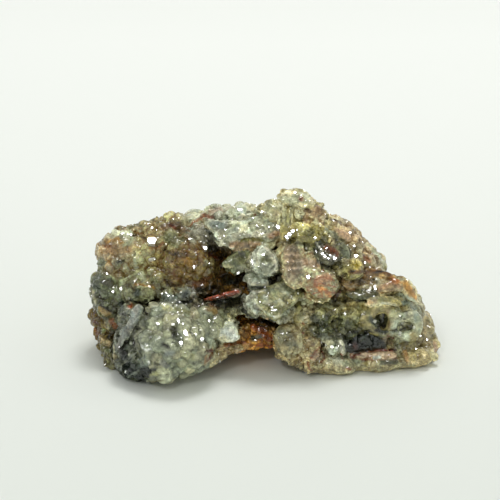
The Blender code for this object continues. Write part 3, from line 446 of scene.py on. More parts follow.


# The botryoids and grains
# Small balls of chalcedony crowd some lobes like grapes, and sugary crystal grains crowd others.
# They are scattered over the body's skin, the larger ones first, each partly sunk, and then
# everything is grown together on a fine grid.
# The crease colour goes into the creases, seams and gaps: the brown and orange ones are rust, and the darker copies of
# the skin are painted shade.
Finish = namedtuple("Finish", "skin crease clear habit")
FINISHES = {
    "sand": Finish("#cec3a4", "#b5823a", 0.5, "sugar"),
    "brown sugar": Finish("#bfb883", "#8a5e2b", 0.5, "sugar"),
    "rusty sugar": Finish("#8a7642", "#6e4016", 0.4, "sugar"),
    "smoke": Finish("#7f8668", "#474223", 0.5, "sugar"),
    "olive smoke": Finish("#a6ab80", "#695124", 0.5, "sugar"),
    "grey leaf": Finish("#b0b5a6", "#6a6550", 0.5, "flake"),
    "pale green": Finish("#b8bca4", "#525a44", 0.5, "botryoid"),
    "blue grey": Finish("#a3aa98", "#40452f", 0.6, "flake"),
    "slate": Finish("#23362d", "#101715", 0.6, "flake"),
    "blue leaf": Finish("#969b8d", "#55574c", 0.4, "plain"),
    "olive": Finish("#8a8348", "#4c3c1a", 0.5, "plain"),
    "milk": Finish("#c3c5b1", "#a0a07e", 0.35, "flake"),
    "milk lumps": Finish("#e1e3ce", "#a6a684", 0.35, "botryoid"),
    "tan": Finish("#cabd93", "#8a6f3c", 0.55, "botryoid"),
    "tan flakes": Finish("#d8cca0", "#8c6c36", 0.45, "flake"),
    "amber brown": Finish("#866d24", "#563810", 0.45, "sugar"),
    "rust": Finish("#fdbb4e", "#823b0f", 0.15, "sugar"),
    "red rust": Finish("#77391e", "#3b1408", 0.1, "plain"),
    "dim green": Finish("#a4a375", "#646235", 0.5, "flake"),
    "rose": Finish("#cdcba1", "#aa8155", 0.3, "flake"),
    "olive leaf": Finish("#8f946f", "#54532f", 0.4, "flake"),
    "glassy": Finish("#e9ecda", "#8f9676", 0.5, "flake"),
    "straw": Finish("#eee6c0", "#a3965a", 0.3, "flake"),
    "citrine": Finish("#e9dc99", "#968a3a", 0.4, "flake"),
    "dusty pink": Finish("#e4d2ae", "#9a703f", 0.5, "sugar"),
    "amber": Finish("#e7e0b3", "#9b672f", 0.35, "sugar"),
    "deep smoke": Finish("#626b4d", "#202315", 0.6, "flake"),
    "petal fold": Finish("#d2b88e", "#7c5c36", 0.4, "plain"),
    "glassy green": Finish("#c0bd92", "#878b57", 0.45, "plain"),
    "pink disc": Finish("#a2a887", "#9c6238", 0.3, "plain"),
    "dusty straw": Finish("#dcc8a0", "#8c643c", 0.5, "plain"),
    "white milk": Finish("#f6f6db", "#d8dac4", 0.1, "plain"),
    "dark green": Finish("#7f8266", "#3c3a22", 0.6, "plain"),
    "brown layer": Finish("#bd9e6c", "#6a4a22", 0.4, "plain"),
    # The recess floor's near black is painted shade.
    "recess shade": Finish("#292b20", "#0d0b05", 0.6, "plain"),
    "cream": Finish("#dcc4a6", "#b06a44", 0.4, "plain"),
    "grey tan": Finish("#c6bd97", "#85713f", 0.45, "plain"),
    "yellow roll": Finish("#b5ad7c", "#6a6138", 0.5, "plain"),
    "pale roll": Finish("#dbe0c6", "#6f7a64", 0.5, "plain"),
    "rim": Finish("#e6dcb1", "#8f7646", 0.55, "sheet"),
}
Habit = namedtuple("Habit", "spread spacing sunk glitter crumple")
HABITS = {
    "botryoid": Habit(0.4, 0.66, 0.4, 0.3, 0.3),
    "sugar": Habit(0.35, 0.7, 0.45, 0.75, 0.45),
    "flake": Habit(0.4, 0.8, 0.6, 0.85, 1.0),
    "plain": Habit(0, 1, 0, 0.8, 0.9),
    "sheet": Habit(0, 1, 0, 0.9, 0.35),
}
# Bumps seen from the front, by name of the place, colour area and pixel, with radii in pixels.
Bumps = namedtuple("Bumps", "name seen")
BUMPS = (
    Bumps("knob bubbles", ((179, 318, 7), (190, 322, 6), (185, 332, 5), (168, 318, 7), (162, 311, 5), (154, 310, 4), (158, 322, 4),
        (163, 327, 5), (150, 322, 5), (145, 316, 4), (152, 331, 5), (168, 334, 5), (160, 337, 6), (150, 338, 5), (147, 346, 7),
        (163, 342, 4), (182, 343, 5), (190, 338, 6), (198, 330, 5), (204, 318, 6), (209, 326, 6), (202, 340, 5), (212, 334, 5),
        (195, 348, 6), (186, 352, 7), (176, 354, 6), (168, 357, 6), (196, 357, 6), (204, 350, 5), (204, 362, 5), (182, 363, 6),
        (171, 366, 5), (163, 367, 5), (190, 369, 6), (197, 372, 7), (184, 375, 6), (174, 374, 5), (205, 371, 5), (139, 354, 5),
        (147, 361, 5), (155, 357, 4), (152, 367, 4), (160, 374, 4))),
    Bumps("knob shoulder bubbles", ((222, 319, 6), (230, 318, 5), (196, 310, 6), (186, 311, 5), (176, 309, 5), (210, 311, 7), (202, 306, 4))),
    Bumps("knob crown", ((186, 294, 8), (170, 296, 5), (160, 297, 4), (194, 300, 4), (151, 300, 4))),
    Bumps("dome top", ((116, 235, 7), (126, 236, 7), (105, 244, 6), (98, 253, 6), (134, 229, 7), (148, 230, 6), (163, 226, 6), (174, 223, 7),
        (171, 237, 10), (186, 232, 7), (139, 241, 7), (152, 242, 7), (157, 253, 7), (172, 251, 7), (184, 247, 7), (192, 256, 6))),
    Bumps("dome front", ((110, 254, 8), (124, 254, 8), (139, 257, 7), (152, 262, 6), (168, 263, 8), (180, 262, 6), (98, 265, 7),
        (112, 268, 8), (126, 268, 8), (138, 271, 6), (152, 273, 7), (164, 275, 7), (178, 273, 7), (190, 268, 6), (203, 263, 6),
        (97, 281, 7), (110, 281, 8), (122, 282, 6), (134, 284, 8), (149, 284, 6), (159, 286, 6), (172, 284, 6), (185, 281, 6),
        (198, 276, 7), (210, 272, 6), (212, 283, 5), (104, 293, 6), (114, 293, 7), (126, 296, 6), (137, 294, 7), (104, 303, 5),
        (115, 303, 6), (123, 306, 6))),
    Bumps("left foot", ((93, 311, 5), (103, 313, 6), (98, 322, 6), (106, 324, 6), (115, 325, 6), (97, 333, 6), (105, 336, 6),
        (113, 337, 5), (101, 345, 5))),
    Bumps("peak", ((289, 197, 8), (302, 199, 8), (312, 206, 6), (270, 208, 7), (298, 214, 6), (310, 219, 6), (320, 214, 5),
        (291, 232, 6), (301, 230, 6), (311, 234, 6), (318, 228, 5), (304, 241, 5))),
    Bumps("shoulder", ((334, 224, 6), (345, 231, 7), (356, 239, 6), (367, 248, 6), (377, 257, 6), (386, 267, 6), (333, 236, 6),
        (355, 265, 6), (365, 256, 5), (367, 264, 5), (347, 250, 5), (324, 257, 4), (318, 263, 4),
        (331, 263, 5), (342, 262, 4))),
    Bumps("right lumps", ((361, 322, 6), (348, 324, 6), (336, 324, 6), (338, 309, 5), (314, 318, 7), (325, 330, 6), (329, 345, 6),
        (318, 342, 5), (431, 330, 5), (426, 344, 6), (416, 345, 5), (436, 345, 5), (412, 356, 5), (424, 358, 6), (435, 357, 5))),
    Bumps("lower lump", ((252, 300, 5), (260, 306, 5), (268, 296, 6), (278, 290, 6), (288, 287, 5), (281, 303, 6), (291, 297, 6),
        (271, 311, 5), (298, 311, 5), (283, 335, 7), (292, 345, 6), (281, 348, 5), (300, 352, 5))),
)
BUMP_SUNK = 0.35
PIXEL = FRAME_WIDTH / PICTURE_SIDE

LARGEST = 1.6  # the largest grain, as a share of its lobe's usual one
GRAIN_TRIES = 60000
GRAIN_SHAPES = 8
FINE_VOXEL = 0.17 * MM
TRIANGLES = 192000
SKIN_WAVE = 0.35 * MM
FACET_SIZES = ((2.4 * MM, 0.24, 0.04, 11), (1.0 * MM, 0.2, 0.035, 12))  # width, tilt, step, seed
FOOT_FADE = 0.8 * MM
PLATE_CRUMPLE = 0.45
BACK_SHARE = 0.16  # of the triangles that face away from the camera, how many stay
SHARP_ANGLE = math.radians(24)

lobe_inverses = np.array([np.array((Matrix.Translation(BODY_SHIFT) @ lobe_matrix(lobe)).inverted()) for lobe in LOBES])
lobe_sizes = np.array([min(lobe.size) for lobe in LOBES]) * MM
lobe_bubbles = np.array([lobe.bubble for lobe in LOBES]) * MM
lobe_habits = np.array([FINISHES[lobe.finish].habit for lobe in LOBES])
lobe_glitter = np.array([HABITS[habit].glitter for habit in lobe_habits])


def lobe_nearness(points, reach):
    """For each point and lobe, 1 where the point lies on that lobe's skin, falling off over reach."""
    ones = np.hstack([points, np.ones((len(points), 1))])
    near = np.empty((len(points), len(LOBES)))
    for i, inverse in enumerate(lobe_inverses):
        local = ones @ inverse[:3].T
        off_skin = (np.linalg.norm(local, axis=1) - 1) * lobe_sizes[i]
        near[:, i] = np.exp(-((off_skin / reach) ** 2))
    return near


def wander(points, size, seed):
    """A smooth random offset for each point, made of crossed waves."""
    turn = np.random.default_rng(seed)
    offset = np.zeros_like(points)
    for octave in range(8):
        direction = turn.normal(0, 1, (3, 3))
        phase = turn.random(3) * 2 * math.pi
        rate = 2 * math.pi / (size * (0.5 + 0.2 * octave))
        direction /= np.linalg.norm(direction, axis=1)[:, None]
        offset += np.sin(points @ direction.T * rate + phase) / 4
    return offset


def ring_nearness(points):
    """For each point and ring, 1 where the point lies on that ring, falling off to 0."""
    near = []
    for ring in RINGS:
        away = points - np.array((Vector(ring.at) * MM + BODY_SHIFT))
        off_circle = np.hypot(away[:, 0], away[:, 2]) - ring.radius * MM
        off_skin = np.hypot(off_circle, away[:, 1]) - ring.thickness * MM
        near.append(np.clip(1.5 - off_skin / RING_FADE, 0, 1))
    return np.stack(near, axis=1)


def normals_of(mesh):
    flat = np.empty(len(mesh.vertices) * 3, np.float32)
    mesh.vertex_normals.foreach_get("vector", flat)
    return flat.reshape(-1, 3).astype(float)


def scatter_points(mesh, count, chance):
    """Random places on a mesh, with their normals."""
    mesh.calc_loop_triangles()
    corners = np.empty(len(mesh.loop_triangles) * 3, np.int32)
    mesh.loop_triangles.foreach_get("vertices", corners)
    corner_points = vertex_array(mesh)[corners.reshape(-1, 3)]
    edge_a = corner_points[:, 1] - corner_points[:, 0]
    edge_b = corner_points[:, 2] - corner_points[:, 0]
    normals = np.cross(edge_a, edge_b)
    areas = np.linalg.norm(normals, axis=1)
    picked = chance.choice(len(areas), count, p=areas / areas.sum())
    a, b = chance.random(count), chance.random(count)
    folded = a + b > 1
    a, b = np.where(folded, 1 - a, a), np.where(folded, 1 - b, b)
    places = corner_points[picked, 0] + a[:, None] * edge_a[picked] + b[:, None] * edge_b[picked]
    return places, normals[picked] / areas[picked, None]


def thin_crowd(places, radii, spacing):
    """Keeps the largest, and each next one that has room. Returns the kept ones' numbers."""
    cell = 2 * spacing * radii.max()
    grid = {}
    kept = []
    for i in np.argsort(-radii, kind="stable"):
        x, y, z = (int(math.floor(value / cell)) for value in places[i])
        crowd = [
            j
            for dx in (-1, 0, 1)
            for dy in (-1, 0, 1)
            for dz in (-1, 0, 1)
            for j in grid.get((x + dx, y + dy, z + dz), ())
        ]
        gaps = places[crowd] - places[i] if crowd else np.empty((0, 3))
        room = spacing * (radii[crowd] + radii[i]) if crowd else np.empty(0)
        if (np.einsum("ij,ij->i", gaps, gaps) >= room**2).all():
            grid.setdefault((x, y, z), []).append(i)
            kept.append(i)
    return np.array(kept)


def shape_points(detail, roughness, chance):
    """Points and faces of a ball whose points are pushed in and out at random."""
    shell = bmesh.new()
    add_ellipsoid(shell, Matrix.Identity(4), detail)
    ball = new_object("ball", shell)
    corners = vertex_array(ball.data)
    faces = np.array([face.vertices[:] for face in ball.data.polygons])
    bpy.data.objects.remove(ball)
    return corners * (1 + roughness * chance.uniform(-1, 1, (len(corners), 1))), faces


def facets_near(points, width, seed):
    """For each point, the number of the random cell it lies in and its way from that cell's seed."""
    chance = np.random.default_rng(seed)
    low, high = np.array(((-32, -22, -2), (32, 22, 32))) * MM
    counts = np.ceil((high - low) / width).astype(int)
    corners = np.stack(np.meshgrid(*(np.arange(n) for n in counts), indexing="ij"), axis=-1).reshape(-1, 3)
    seeds = low + (corners + chance.uniform(0, 1, corners.shape)) * width
    finder = kdtree.KDTree(len(seeds))
    for i, place in enumerate(seeds):
        finder.insert(place, i)
    finder.balance()
    cells = np.array([finder.find(point)[1] for point in points])
    return cells, points - seeds[cells], len(seeds)


def on_plate(point, reach):
    """The number of the nearest plate within reach of a point and its distance, or None twice."""
    nearest, best = None, reach
    for number, tree in enumerate(plate_trees):
        distance = tree.find_nearest(point, best)[3]
        if distance is not None and distance < best:
            nearest, best = number, distance
    return nearest, (best if nearest is not None else None)


chance = np.random.default_rng(7)
points = vertex_array(body.data)
points += normals_of(body.data) * wander(points, 5 * MM, 3)[:, :1] * SKIN_WAVE
body.data.vertices.foreach_set("co", points.ravel())
body.data.update()

all_places, all_normals = scatter_points(body.data, GRAIN_TRIES, chance)
all_owners = lobe_nearness(all_places, 0.5 * MM).argmax(axis=1)
clear_of_plates = np.array([on_plate(Vector(place), 0.4 * MM)[0] is None for place in all_places])
clear_of_plates &= ring_nearness(all_places).max(axis=1) < 0.05
balls = [shape_points(2, 0.05, chance) for _ in range(GRAIN_SHAPES)]
point_lists = [vertex_array(body.data), vertex_array(plates.data)]
face_lists = [face.vertices[:] for face in body.data.polygons]
face_lists += [tuple(i + len(point_lists[0]) for i in face.vertices) for face in plates.data.polygons]
count = len(point_lists[0]) + len(point_lists[1])
seen_centres, seen_radii = [], []
for bumps in BUMPS:
    for u, v, size in bumps.seen:
        hit, facing, face, distance = skin_tree.ray_cast(eye, sight_line(u, v))
        if hit is not None:
            radius = size * PIXEL
            seen_centres.append(hit - (facing * 0.5 - sight * 0.5) * radius * BUMP_SUNK)
            seen_radii.append(radius)
seen_centres, seen_radii = np.array(seen_centres), np.array(seen_radii)
clear_of_bumps = np.ones(len(all_places), bool)
for centre, radius in zip(seen_centres, seen_radii):
    clear_of_bumps &= np.linalg.norm(all_places - centre, axis=1) > radius * 1.15
shape_numbers = chance.integers(0, len(balls), len(seen_radii))
for centre, radius, number in zip(seen_centres, seen_radii, shape_numbers):
    corners, faces = balls[number]
    point_lists.append(corners * radius + centre)
    face_lists += (faces + count).tolist()
    count += len(corners)
ball_centres, ball_radii = [seen_centres], [seen_radii]
for habit in ("botryoid", "sugar", "flake"):
    kind = HABITS[habit]
    mine = np.flatnonzero((lobe_habits[all_owners] == habit) & (lobe_bubbles[all_owners] > 0) & clear_of_plates & clear_of_bumps)
    growth = np.exp(chance.normal(0, kind.spread, len(mine)))
    radii = lobe_bubbles[all_owners[mine]] * np.clip(growth, 0.5, LARGEST)
    kept = thin_crowd(all_places[mine], radii, kind.spacing)
    radii = radii[kept]
    centres = all_places[mine[kept]] - all_normals[mine[kept]] * (radii * kind.sunk)[:, None]
    ball_centres.append(centres)
    ball_radii.append(radii)
    drawn = chance.integers(0, len(balls), len(radii))
    for number, (corners, faces) in enumerate(balls):
        these = np.flatnonzero(drawn == number)
        made = corners[None] * radii[these, None, None] + centres[these, None]
        first = count + np.arange(len(these))[:, None, None] * len(corners)
        face_lists += (faces[None] + first).reshape(-1, 3).tolist()
        point_lists.append(made.reshape(-1, 3))
        count += len(these) * len(corners)
    print(habit, len(radii))
ball_centres, ball_radii = np.vstack(ball_centres), np.concatenate(ball_radii)
together = bpy.data.meshes.new("together")
together.from_pydata(np.vstack(point_lists).tolist(), [], face_lists)
bpy.data.objects.remove(body)
bpy.data.objects.remove(plates)
rose = bpy.data.objects.new("rose", together)
bpy.context.scene.collection.objects.link(rose)
grow_together(rose, FINE_VOXEL)
soften(rose, 1, 0.3)
shell = bmesh.new()
block = Matrix.Translation((0, 0, -TABLE_CUT / 2)) @ Matrix.Diagonal((0.12, 0.12, TABLE_CUT, 1))
bmesh.ops.create_cube(shell, size=1.0, matrix=block)
cut_away(rose, new_object("table", shell))
print("fine", len(rose.data.polygons))

points = vertex_array(rose.data)
near = lobe_nearness(points, 0.9 * MM) + 1e-9
near /= near.sum(axis=1)[:, None]
strength = near @ np.array([HABITS[habit].crumple for habit in lobe_habits])
strength *= np.clip(points[:, 2] / FOOT_FADE, 0, 1)
by_plate = np.array([every_plate.find_nearest(point, 0.3 * MM)[0] is not None for point in points])
strength[by_plate] *= PLATE_CRUMPLE
strength *= 1 - 0.7 * ring_nearness(points).max(axis=1)
height = np.zeros(len(points))
for width, tilt, step, seed in FACET_SIZES:
    cells, away, total = facets_near(points + wander(points, 2.5 * MM, seed) * width * 0.3, width, seed)
    tilts = np.random.default_rng(seed + 50).normal(0, tilt, (total, 3))
    steps = np.random.default_rng(seed + 90).normal(0, step * width, total)
    height += np.einsum("ij,ij->i", away, tilts[cells]) + steps[cells]
points += normals_of(rose.data) * (np.clip(height, -0.5 * MM, 0.5 * MM) * strength)[:, None]
points[:, 2] = np.maximum(points[:, 2], 0)
rose.data.vertices.foreach_set("co", points.ravel())
rose.data.update()

away_from_camera = normals_of(rose.data) @ np.array(sight) > 0.15
group = rose.vertex_groups.new(name="turned away")
group.add(np.flatnonzero(away_from_camera).tolist(), 1.0, "REPLACE")
decimate = rose.modifiers.new("thin out behind", "DECIMATE")
decimate.vertex_group = "turned away"
decimate.ratio = 1 - away_from_camera.mean() * (1 - BACK_SHARE)
settle(rose)
rose.vertex_groups.clear()
rose.data.calc_loop_triangles()
print("after back", len(rose.data.loop_triangles), away_from_camera.mean())
decimate = rose.modifiers.new("thin out", "DECIMATE")
decimate.ratio = min(1, TRIANGLES / len(rose.data.loop_triangles))
settle(rose)
rose.data.validate()


def drop_crumbs(target):
    """Deletes whatever isn't joined to the largest piece, and closes pinholes."""
    shell = bmesh.new()
    shell.from_mesh(target.data)
    unseen = set(shell.verts)
    pieces = []
    while unseen:
        waiting = [unseen.pop()]
        piece = []
        while waiting:
            vertex = waiting.pop()
            piece.append(vertex)
            linked = {edge.other_vert(vertex) for edge in vertex.link_edges} & unseen
            unseen -= linked
            waiting += linked
        pieces.append(piece)
    pieces.sort(key=len)
    crumbs = [vertex for piece in pieces[:-1] for vertex in piece]
    bmesh.ops.delete(shell, geom=crumbs, context="VERTS")
    bmesh.ops.holes_fill(shell, edges=[edge for edge in shell.edges if edge.is_boundary], sides=12)
    shell.to_mesh(target.data)
    shell.free()


drop_crumbs(rose)

# Mirror-like crystal faces
# A few flat faces catch the lamp and flash white, and are painted white as well: a painted highlight. Each is a thin
# chip set on the skin at a pixel of the picture, with its width and height in pixels, and faces halfway between camera
# and lamp.
KEY_LAMP = Vector((0.06, 0.13, 0.56))
MIRROR_SINK = 0.3 * MM
MIRROR_LIFT = 0.1 * MM
MIRROR_STEP = 0.22  # how far a mirror stands out, as a share of its height
SPARKLES = 80  # tiny mirrors scattered at random
MIRROR_SQUASH = 0.85  # how much shorter a tilted face looks than it is
MIRRORS = (
    ("dome mirror", 152, 241, 11, 9), ("dome mirror below", 152, 259, 8, 3.5), ("split edge", 205, 248, 5, 5),
    ("yellow crescent", 287, 237.5, 4.5, 5), ("yellow crescent middle", 289.5, 234.5, 5, 5), ("yellow crescent end", 292.5, 231.5, 4.5, 4), ("yellow spark", 297, 230, 2, 2), ("rib foot", 278, 227, 5, 6),
    ("peak left spark", 262, 212, 3, 2.5), ("peak spark", 295, 193, 3, 3), ("petal spark left", 225, 230, 2, 2),
    ("petal spark", 224, 236, 2, 2), ("petal spark right", 269, 227, 2, 2.5), ("petal spark middle", 257, 226, 2, 2),
    ("column streak", 252, 262, 2, 6), ("column spark", 263, 255, 4, 2), ("lower lump flash", 274, 310, 8, 3),
    ("side spark", 298, 293, 2.5, 2), ("disc flash", 308, 277, 5, 5), ("eye spark", 315, 238, 3, 2),
    ("eye upper flash", 317, 244, 2.6, 4), ("eye upper flash second", 319, 247, 3.6, 4), ("eye upper flash third", 321, 249.5, 2.4, 2.6),
    ("eye lower flash", 322.5, 254, 2.6, 3.2), ("eye lower flash second", 325, 256.5, 3.4, 2.8), ("eye lower flash third", 328.5, 258.5, 3.6, 2),
    ("eye inner flash", 330, 255.5, 3, 1.8), ("eye right flash", 334.5, 258.5, 4, 3.4), ("eye spark inside", 326.5, 248.5, 1.6, 1.6),
    ("shoulder spark", 350, 233, 3, 3), ("shoulder spark below", 354, 246, 3, 3), ("shoulder flash", 356, 256, 5, 4),
    ("lump spark", 365, 263, 2.5, 2.5), ("ridge flash", 375, 288, 3, 7), ("swirl flash", 374, 321, 6, 2.5),
    ("roll spark", 402, 322, 4, 3), ("roll spark below", 400, 333, 4, 4), ("roll spark right", 414, 327, 3, 3),
    ("arch spark", 345, 314, 2.5, 3), ("middle spark", 323, 316, 2, 2), ("middle spark low", 321, 342, 3, 2),
    ("facet spark", 326, 345, 2.5, 2.5), ("facet flash", 332, 347, 3, 5), ("end spark", 427, 340, 2.5, 2.5),
    ("end spark low", 416, 349, 2.5, 2), ("end spark high", 420, 336, 2.5, 2.5), ("knob flash", 178.5, 321, 3, 7),
    ("knob flash middle", 185.5, 333, 5, 7), ("knob flash right", 202, 339, 4.5, 4), ("knob flash low", 181, 343, 4, 5.5),
    ("knob flash left", 158, 324, 4, 2.5), ("shoulder bubble flash", 209, 321, 2.5, 3), ("knob spark", 183, 324, 2, 2),
    ("knob spark right", 196, 335, 2, 2), ("dome spark low", 121, 289, 3, 3.5), ("dome spark low left", 113, 292, 3, 3),
    ("dome spark left", 107, 274, 2.5, 2.5), ("facet edge spark", 190, 239, 3, 2), ("slope spark", 194, 267, 2, 4),
    ("slope spark right", 209, 264, 2, 2), ("dome rim spark", 152, 228, 2.5, 3), ("crown spark first", 162, 294, 2, 1.8),
    ("crown spark second", 166, 293, 2, 2), ("crown spark third", 168, 296, 1.8, 1.8), ("heel spark", 126, 371, 3, 2),
    ("rim spark", 374, 357, 2.5, 1.6), ("rim spark right", 380, 358, 2, 1.6), ("sparkle low", 257, 297, 2, 2),
    ("sparkle low second", 260, 302, 2.2, 1.8), ("sparkle low third", 255, 304, 1.8, 1.8), ("lip spark", 258, 283, 5, 1.8),
    ("crown flash", 240, 210, 6, 3.5), ("cream lump spark", 122, 234, 2.5, 2.5), ("cream lump spark right", 131, 235, 2.5, 3),
    ("white bubble", 149, 362, 3, 3), ("tail bubble", 206, 371, 3, 5), ("tail spark", 220, 361, 1.8, 2),
)
tree = BVHTree.FromObject(rose, bpy.context.evaluated_depsgraph_get())
chance = np.random.default_rng(21)
shell = bmesh.new()
shell.from_mesh(rose.data)
skin_count = len(shell.verts)


def add_mirror(shell, hit, width, height, lean):
    """Adds a six-sided chip that throws the lamp's light towards the camera, give or take lean."""
    toward = (KEY_LAMP - hit).normalized() + (eye - hit).normalized()
    toward = (toward.normalized() + Vector(lean)).normalized()
    across = toward.cross(Vector((0, 0, 1))).normalized() * (width / 2)
    upward = across.cross(toward).normalized() * (height / 2 / MIRROR_SQUASH)
    corners = [(k + chance.uniform(-0.3, 0.3)) / 6 * 2 * math.pi for k in range(6)]
    front = hit + toward * MIRROR_LIFT - sight * (MIRROR_LIFT + height * MIRROR_STEP)
    back = hit - toward * (MIRROR_SINK + height * MIRROR_STEP)
    rings = []
    for centre in (front, back):
        rings.append([shell.verts.new(centre + across * math.cos(a) + upward * math.sin(a)) for a in corners])
    shell.faces.new(rings[0])
    shell.faces.new(rings[1][::-1])
    for i in range(6):
        shell.faces.new((rings[0][i], rings[1][i], rings[1][(i + 1) % 6], rings[0][(i + 1) % 6]))


for name, u, v, width, height in MIRRORS:
    hit = tree.ray_cast(eye, sight_line(u, v))[0]
    if hit is not None:
        add_mirror(shell, hit, 0.88 * width * PIXEL, 0.88 * height * PIXEL, (0, 0, 0))
places, facings = scatter_points(rose.data, SPARKLES * 4, chance)
halfway = np.array(((KEY_LAMP.normalized() - sight).normalized()))
lit = np.flatnonzero((facings @ halfway > 0.6) & (places[:, 2] > 2 * MM))[:SPARKLES]
for place, width in zip(places[lit], chance.uniform(0.09, 0.19, len(lit)) * MM):
    add_mirror(shell, Vector(place), width, width, chance.normal(0, 0.04, 3))
shell.to_mesh(rose.data)
shell.free()
is_mirror = np.arange(len(rose.data.vertices)) >= skin_count

# Colours of the chalcedony
# The stone's colour changes from lobe to lobe: smoky, pale green, pink, straw and rust. Each
# vertex takes the blended finish of the lobes whose skin it lies on, with painted light in the middles of the balls and
# painted shade in the seams between them and round the plates, and then the stains.
FINISH_REACH = 0.9 * MM
IRON_TINGE = (1.0, 1.0, 0.89)  # iron in the stone takes some of the blue
WARM_SHIFT = np.array((0.07, 0.0, -0.06))  # how the colour differs from grain to grain
PLATE_FADE = 0.5 * MM
BALL_REACH = 0.35 * MM
# Width of the painted shade in the seams between balls.
SEAM_WIDTH = 0.2 * MM
WARP = 0.55 * MM  # how far the borders between finishes wander


def linear(colour):
    """Scene-linear red, green and blue of a screen colour such as #c9cfb6."""
    parts = [int(colour[i : i + 2], 16) / 255 for i in (1, 3, 5)]
    return [part / 12.92 if part <= 0.04045 else ((part + 0.055) / 1.055) ** 2.4 for part in parts]


mesh = rose.data
mesh.polygons.foreach_set("use_smooth", [True] * len(mesh.polygons))
mesh.set_sharp_from_angle(angle=SHARP_ANGLE)
mesh.calc_loop_triangles()
print("all triangles", len(mesh.loop_triangles))
points = vertex_array(mesh)
cells, away, total = facets_near(points, FACET_SIZES[1][0], FACET_SIZES[1][3])
tone = np.random.default_rng(5).uniform(0, 1, total)[cells]
finder = kdtree.KDTree(len(ball_centres))
for i, centre in enumerate(ball_centres):
    finder.insert(centre, i)
finder.balance()
ball_tones = np.random.default_rng(6).uniform(0, 1, len(ball_centres))
on_ball = np.empty(len(points))
next_ball = np.empty(len(points))
for i, point in enumerate(points):
    gaps = sorted((distance - ball_radii[number], number) for place, number, distance in finder.find_n(point, 8))
    on_ball[i], next_ball[i] = gaps[0][0], gaps[1][0]
    if gaps[0][0] < BALL_REACH:
        tone[i] = ball_tones[gaps[0][1]]
inside = (next_ball - on_ball) / SEAM_WIDTH
# The seams between balls get painted shade, stronger in some places than in others.
seam = np.clip(1 - inside, 0, 1) * (on_ball < BALL_REACH)
seam *= np.clip(0.7 + wander(points, 3.5 * MM, 9)[:, 0] * 0.9, 0.15, 1)
# The middle of each ball is painted lighter: painted light.
heart = np.clip((inside - 1) / 3, 0, 1) * (on_ball < BALL_REACH)
warped = points + wander(points, 3.0 * MM, 5) * WARP * 2
near = lobe_nearness(warped, FINISH_REACH) + 1e-9
near /= near.sum(axis=1)[:, None]
skin_colours = np.array([linear(FINISHES[lobe.finish].skin) for lobe in LOBES])
crease_colours = np.array([linear(FINISHES[lobe.finish].crease) for lobe in LOBES])
finish_clear = np.array([FINISHES[lobe.finish].clear for lobe in LOBES])
# Skin colour, up to a third lighter in the ball middles: painted light.
tint = near @ skin_colours * (0.9 + 0.3 * heart)[:, None]
crease_rust_and_shade = near @ crease_colours
clear = near @ finish_clear
sugar = near @ lobe_glitter
for ring, share in zip(RINGS, ring_nearness(points).T[:, :, None]):
    finish = FINISHES[ring.finish]
    tint += (np.array(linear(finish.skin)) - tint) * share
    crease_rust_and_shade += (np.array(linear(finish.crease)) - crease_rust_and_shade) * share
    clear += (finish.clear - clear) * share[:, 0]
    sugar += (0.4 - sugar) * share[:, 0]
plate_finishes = [FINISHES[plate.finish] for plate in PLATES]
for i, point in enumerate(points):
    number, distance = on_plate(Vector(point), PLATE_FADE)
    if number is not None:
        finish = plate_finishes[number]
        share = min(1, 2 * (1 - distance / PLATE_FADE))
        tint[i] += (np.array(linear(finish.skin)) - tint[i]) * share
        crease_rust_and_shade[i] += (np.array(linear(finish.crease)) - crease_rust_and_shade[i]) * share
        clear[i] += (finish.clear - clear[i]) * share
        sugar[i] += (HABITS[finish.habit].glitter - sugar[i]) * share
        # A band of painted shade runs round each plate, just off its edge.
        seam[i] = max(seam[i] * (1 - share), 1 - abs(distance - 0.3 * MM) / (0.16 * MM))

# Creases and open faces
# The creases between grains hold rust and get painted shade, and the deep hollows get painted shade too. Rays from each
# vertex tell how much of the sky it sees: past its near neighbours, and past the other lobes.
SKY_RAYS = 14
NEAR_REACH = 0.8 * MM
SKY_REACH = 7 * MM
SKY_START = 0.06 * MM
tree = BVHTree.FromObject(rose, bpy.context.evaluated_depsgraph_get())
rays = []
for i in range(SKY_RAYS):
    height = (i + 0.7) / SKY_RAYS
    angle = i * 2.399963
    width = math.sqrt(max(0, 1 - height * height))
    rays.append(Vector((width * math.cos(angle), width * math.sin(angle), height)))
shade = np.ones(len(points))
crease = np.zeros(len(points))
for i, vertex in enumerate(mesh.vertices):
    turn = vertex.normal.to_track_quat("Z", "Y")
    start = vertex.co + vertex.normal * SKY_START
    far_hits = near_hits = 0
    for ray in rays:
        distance = tree.ray_cast(start, turn @ ray, SKY_REACH)[3]
        if distance is not None:
            far_hits += 1
            near_hits += distance < NEAR_REACH
    shade[i] = 1 - (far_hits - near_hits) / max(1, SKY_RAYS - near_hits)
    crease[i] = near_hits / SKY_RAYS
# The seams' painted shade is added to the creases' painted shade.
crease = np.maximum(crease, 0.35 + 0.5 * seam)
